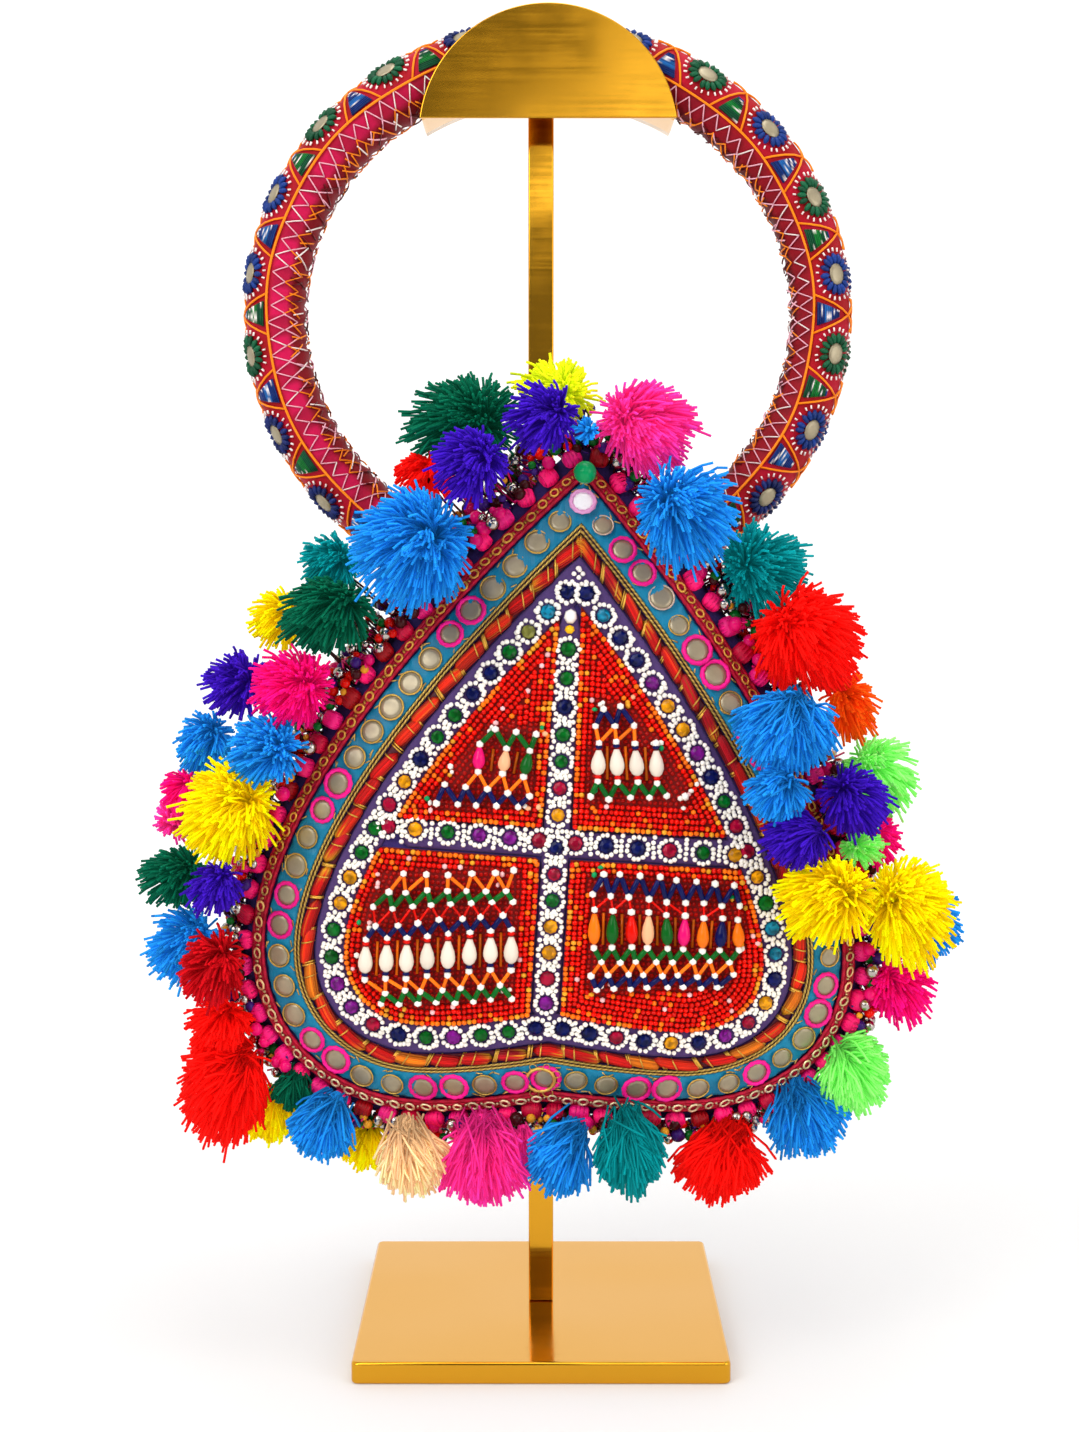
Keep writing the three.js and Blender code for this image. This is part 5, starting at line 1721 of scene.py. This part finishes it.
class POTLI_OT_pompoms(Operator):
    """Pompoms of cut yarn, each arching like a mop from a tied head by the rim"""

    bl_idname = "potli.pompoms"
    bl_label = "Pompoms"

    def execute(self, context):
        sizes = context.scene.potli_sizes
        self.thick = sizes.strand / MM / 2
        self.cover = sizes.strand_cover
        self.edge = hung(face(FRONT, np.linspace(0, 1, 400), -9.0, 3.0))
        for node in pompom_nodes():
            low, high = solid_box(node)
            number, yarn = int(node.split("_")[1]), node.split("_")[2]
            across, up, growth = NUDGES.get(number, (0, 0, 0))
            centre = (low + high) / 2 + leaning(np.array([across, 0.0, up]))
            heap = Heap()
            self.fan(heap, centre, (high - low) / 2 + growth, yarn, number)
            keep(heap.piece(f"yarn_{number:02d}_{yarn}", finish("yarn")), f"yarn_{yarn}", node)
        tufts = Heap()
        for number, (yarn, (u, out, v), radius) in enumerate(TUFTS):
            centre = hung(np.array([u, SEAM_Y - out, v], float))
            self.fan(tufts, centre, np.full(3, radius, float), yarn, 100 + number)
        keep(tufts.piece("yarn_tufts", finish("yarn")), "yarn_blue")
        return {"FINISHED"}

    def fan(self, heap, centre, half, yarn, seed):
        """Strands fan in locks from a tied head on the rim side, arch over and end near the outline."""
        rng = np.random.default_rng(seed)
        nearest = self.edge[np.argmin(np.linalg.norm(self.edge - centre, axis=1))]
        away = unit((centre - nearest) * np.array([1, 0, 1]))
        hangs = np.clip(-1.6 * away[2] - 0.3, 0, 1)
        sway = rng.normal(0, 0.25, 3) * np.array([1, 0, 1])
        fall = unit(away * 0.7 + np.array([0, 0, -0.45]) + sway)
        head = centre - ((0.36 + 0.3 * hangs) * fall - np.array([0, 0.3 - 0.3 * hangs, 0])) * half
        faces = half[0] * half[2] + half[0] * half[1] + half[1] * half[2]
        count = int(4 * np.pi * faces / 3 / self.cover)
        way, longer = self.spread(rng, fall, count, 80 - 44 * hangs, 1 - 0.4 * hangs)
        outer = int(0.62 * count)
        longer[outer:] *= 0.88
        reach = longer / np.linalg.norm(way / half, axis=1)
        tip = centre + way * reach[:, None]
        root = head + rng.normal(0, 0.06 + 0.12 * hangs, (count, 3)) * half
        run = np.linalg.norm(tip - root, axis=1)[:, None]
        front = np.array([0, -1.0, 0])
        arch = 0.12 * unit(way + 0.5 * front) + 0.1 * front + np.array([0, 0, 0.1])
        bend = 0.5 * (root + tip) + arch * run + rng.normal(0, 0.05, (count, 3)) * run
        crimp = rng.normal(0, 0.03, (count, 1, 3))
        base = shade(YARNS, [DEEPER.get(seed, yarn)])[0] * rng.uniform(0.68, 1.35, (count, 1, 1))
        # Strands deeper in are laid in fewer steps.
        for part, steps in (
            (slice(0, outer), [0.06, 0.42, 0.74, 1.0]), (slice(outer, count), [0.06, 0.5, 1.0]),
        ):
            t = np.array(steps)[None, :, None]
            a, b, c = root[part, None], bend[part, None], tip[part, None]
            arc = (1 - t) ** 2 * a + 2 * t * (1 - t) * b + t ** 2 * c
            drift = crimp[part] * np.sin(5.2 * t) + np.array([0, 0, 0.08 * hangs - 0.1]) * t ** 2
            # Painted shade: each strand is darker at its root, deep in the pompom, and lighter towards its
            # tip.
            tint = np.clip(base[part] * (0.42 + 0.78 * t ** 0.8), 0, 0.97)
            width = self.thick * np.minimum(1, 0.8 + 0.6 * t[..., 0])
            heap.lay(arc + drift * run[part, None], width, tint, 3)
        self.head(heap, rng, head, fall, half.min(), yarn)

    def spread(self, rng, fall, count, fan, depth):
        """Directions and lengths in locks, fanned in the plane of the bag about the fall of the yarn."""
        locks = 26
        lock = rng.integers(0, locks, count)
        turns = np.linspace(-2.1, 2.1, locks)[rng.permutation(locks)] * fan
        leans = depth * np.degrees(np.arcsin(np.linspace(-0.5, 0.97, locks)))
        loose = rng.uniform(size=count) < 0.25
        angle = np.where(loose, rng.normal(0, 1.2 * fan, count), turns[lock])
        lean = np.where(loose, depth * rng.normal(20, 38, count), leans[lock])
        angle = np.radians(np.clip(angle + rng.normal(0, 11, count), -176, 176))
        lean = np.radians(np.clip(lean + rng.normal(0, 11, count), -75, 89))
        side = np.array([fall[2], 0, -fall[0]])
        flat = np.cos(angle)[:, None] * fall + np.sin(angle)[:, None] * side
        way = np.cos(lean)[:, None] * flat + np.sin(lean)[:, None] * np.array([0, -1.0, 0])
        return way, rng.uniform(0.88, 1.14, locks)[lock] * rng.uniform(0.84, 1.06, count)

    def head(self, heap, rng, place, axis, half, yarn):
        """The tied head of the pompom: a round bundle of yarn."""
        turn = np.linspace(0, 2 * np.pi, 11)[:-1]
        side = unit(np.cross(axis, [0.3, 0.2, 0.93]))
        other = np.cross(axis, side)
        ring = np.cos(turn)[:, None] * side + np.sin(turn)[:, None] * other
        steps = np.array([-1.0, -0.55, 0.1, 0.8])
        wide = np.array([0.3, 0.9, 1.0, 0.6])
        size = min(3.4, 0.24 * half)
        lines = place + size * (steps[None, :, None] * axis + 0.62 * wide[None, :, None] * ring[:, None])
        tone = shade(YARNS, [yarn])[0] * rng.uniform(0.6, 0.9, (len(turn), 1))
        heap.lay(lines, 0.34 * size, tone, 5)


class POTLI_OT_dangles(Operator):
    """Clusters of beads between the rim and the pompoms, and the bead at the point"""

    bl_idname = "potli.dangles"
    bl_label = "Hanging beads"

    # Kind of bead: share of all, least and greatest radius in millimetres, colour
    KINDS = {
        "metal": (0.24, 2.2, 3.4, None), "pink": (0.18, 2.4, 3.4, "magenta"),
        "red": (0.15, 1.5, 2.6, "red"), "green": (0.12, 1.7, 2.8, "green"),
        "violet": (0.12, 1.8, 3.0, "violet"), "dark": (0.13, 1.8, 3.0, "dark"),
        "gold": (0.06, 1.2, 2.0, "gold"),
    }

    def execute(self, context):
        rng = np.random.default_rng(23)
        tries = 3200
        s = rng.uniform(0, 1, tries)
        start, axes = seat(s, -9.5, 1.5)
        # The clusters are deepest beside the point and thin out towards the bottom.
        low = np.clip((start[:, 2].max() - start[:, 2]) / 200, 0, 1)
        reach = rng.uniform(0, 1, tries) * (23 - 15 * low)
        places = start + reach[:, None] * axes[:, 1] + np.array([0, 1, 0]) * rng.uniform(-9, 3, (tries, 1))
        places[:, 2] -= 0.12 * reach
        names = rng.choice(list(self.KINDS), tries, p=[kind[0] for kind in self.KINDS.values()])
        radius = np.array([rng.uniform(*self.KINDS[name][1:3]) for name in names])
        kept = self.apart(places, radius)
        start, places, names, radius = start[kept], places[kept], names[kept], radius[kept]
        ball = modelled(lambda: round_bead(7, 5))
        glass, metal = Heap(), Heap()
        silver = names == "metal"
        metal.stamp(ball, places[silver], np.eye(3) * radius[silver, None, None], np.ones(3))
        tones = shade(BEADS, [self.KINDS[name][3] for name in names[~silver]])
        glass.stamp(ball, places[~silver], np.eye(3) * radius[~silver, None, None], varied(rng, tones, 0.2))
        middle = 0.5 * (start + places) + rng.normal(0, 0.8, start.shape)
        strings = shade(BEADS, rng.choice(["violet", "dark", "magenta"], len(start)))
        for _ in range(2):
            ends = places + rng.normal(0, 2.2, start.shape)
            glass.lay(np.stack([start, middle, ends], axis=1), 0.5, strings, 3)
        self.trim(glass, metal, ball, rng)
        self.ties(glass, rng)
        keep(glass.piece("hanging_glass_beads", finish("glass")), "glass_beads")
        keep(metal.piece("hanging_metal_beads", finish("silver")), "metal_thread")
        self.apex()
        return {"FINISHED"}

    def apart(self, places, radius):
        """Numbers of the beads that keep clear of those before them."""
        kept = [0]
        for k in range(1, len(places)):
            gap = np.linalg.norm(places[kept] - places[k], axis=1) - 0.8 * (radius[kept] + radius[k])
            if gap.min() > 0:
                kept.append(k)
        return np.array(kept)

    def trim(self, glass, metal, ball, rng):
        """Small beads sewn along the outer side of the rim, every third one of metal."""
        s = stepped(-11.0, 5.4, 5.4)
        count = len(s)
        here, axes = seat(s, -11.2 + rng.uniform(-1.6, 1.6, count), rng.uniform(4.5, 9.5, count))
        axes = axes * rng.uniform(1.4, 2.6, count)[:, None, None]
        silver = np.arange(count) % 3 == 0
        metal.stamp(ball, here[silver], axes[silver], np.ones(3))
        odds = {"red": 0.3, "dark": 0.25, "green": 0.15, "magenta": 0.15, "violet": 0.15}
        names = rng.choice(list(odds), count, p=list(odds.values()))
        glass.stamp(ball, here[~silver], axes[~silver], shade(BEADS, names[~silver]))

    def ties(self, heap, rng):
        """Each pompom hangs from the rim by two threads."""
        edge = hung(face(FRONT, np.linspace(0, 1, 800, endpoint=False), -10.0, 1.0))
        for node in pompom_nodes():
            low, high = solid_box(node)
            centre = (low + high) / 2
            start = edge[np.argmin(np.linalg.norm(edge - centre, axis=1))]
            for side in (-1.2, 1.2):
                shift = rng.normal(0, 0.8, (3, 3)) + np.array([side, 0, 0])
                line = np.stack([start, 0.5 * (start + centre), centre]) + shift * np.array([[1], [1], [0.3]])
                heap.lay(line[None], 0.45, shade(BEADS, ["dark"]), 4)

    def apex(self):
        low, high = solid_box("apex_bead")
        heap = Heap()
        ball = modelled(lambda: round_bead(24, 16))
        heap.stamp(ball, ((low + high) / 2)[None], np.eye(3) * 4.4, shade(BEADS, ["jade"]))
        keep(heap.piece("apex_pearl", finish("glass")), "jade_bead", "apex_bead")


class POTLI_PT_panel(Panel):
    """Lists the steps that make the bag"""

    bl_idname = "POTLI_PT_panel"
    bl_label = "Potli bag"
    bl_space_type = "VIEW_3D"
    bl_region_type = "UI"
    bl_category = "Potli"

    def draw(self, context):
        for step in STEPS:
            self.layout.operator(step.bl_idname)
        for group in (context.scene.potli_sizes, context.scene.potli_colours, context.scene.potli_stage):
            box = self.layout.box()
            for name in group.__annotations__:
                box.prop(group, name)


GROUPS = {"potli_sizes": PotliSizes, "potli_colours": PotliColours, "potli_stage": PotliStage}
STEPS = (
    POTLI_OT_stage, POTLI_OT_stand, POTLI_OT_pouch, POTLI_OT_ring, POTLI_OT_rim, POTLI_OT_mirror_band,
    POTLI_OT_cords, POTLI_OT_trellis, POTLI_OT_panels, POTLI_OT_pompoms, POTLI_OT_dangles,
)


def register():
    for kind in (*GROUPS.values(), *STEPS, POTLI_PT_panel):
        bpy.utils.register_class(kind)
    for name, kind in GROUPS.items():
        setattr(bpy.types.Scene, name, PointerProperty(type=kind))


def unregister():
    for name in GROUPS:
        delattr(bpy.types.Scene, name)
    for kind in (POTLI_PT_panel, *STEPS, *GROUPS.values()):
        bpy.utils.unregister_class(kind)


def main():
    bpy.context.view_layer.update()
    register()
    for step in STEPS:
        group, name = step.bl_idname.split(".")
        getattr(getattr(bpy.ops, group), name)()


if __name__ == "__main__":
    main()
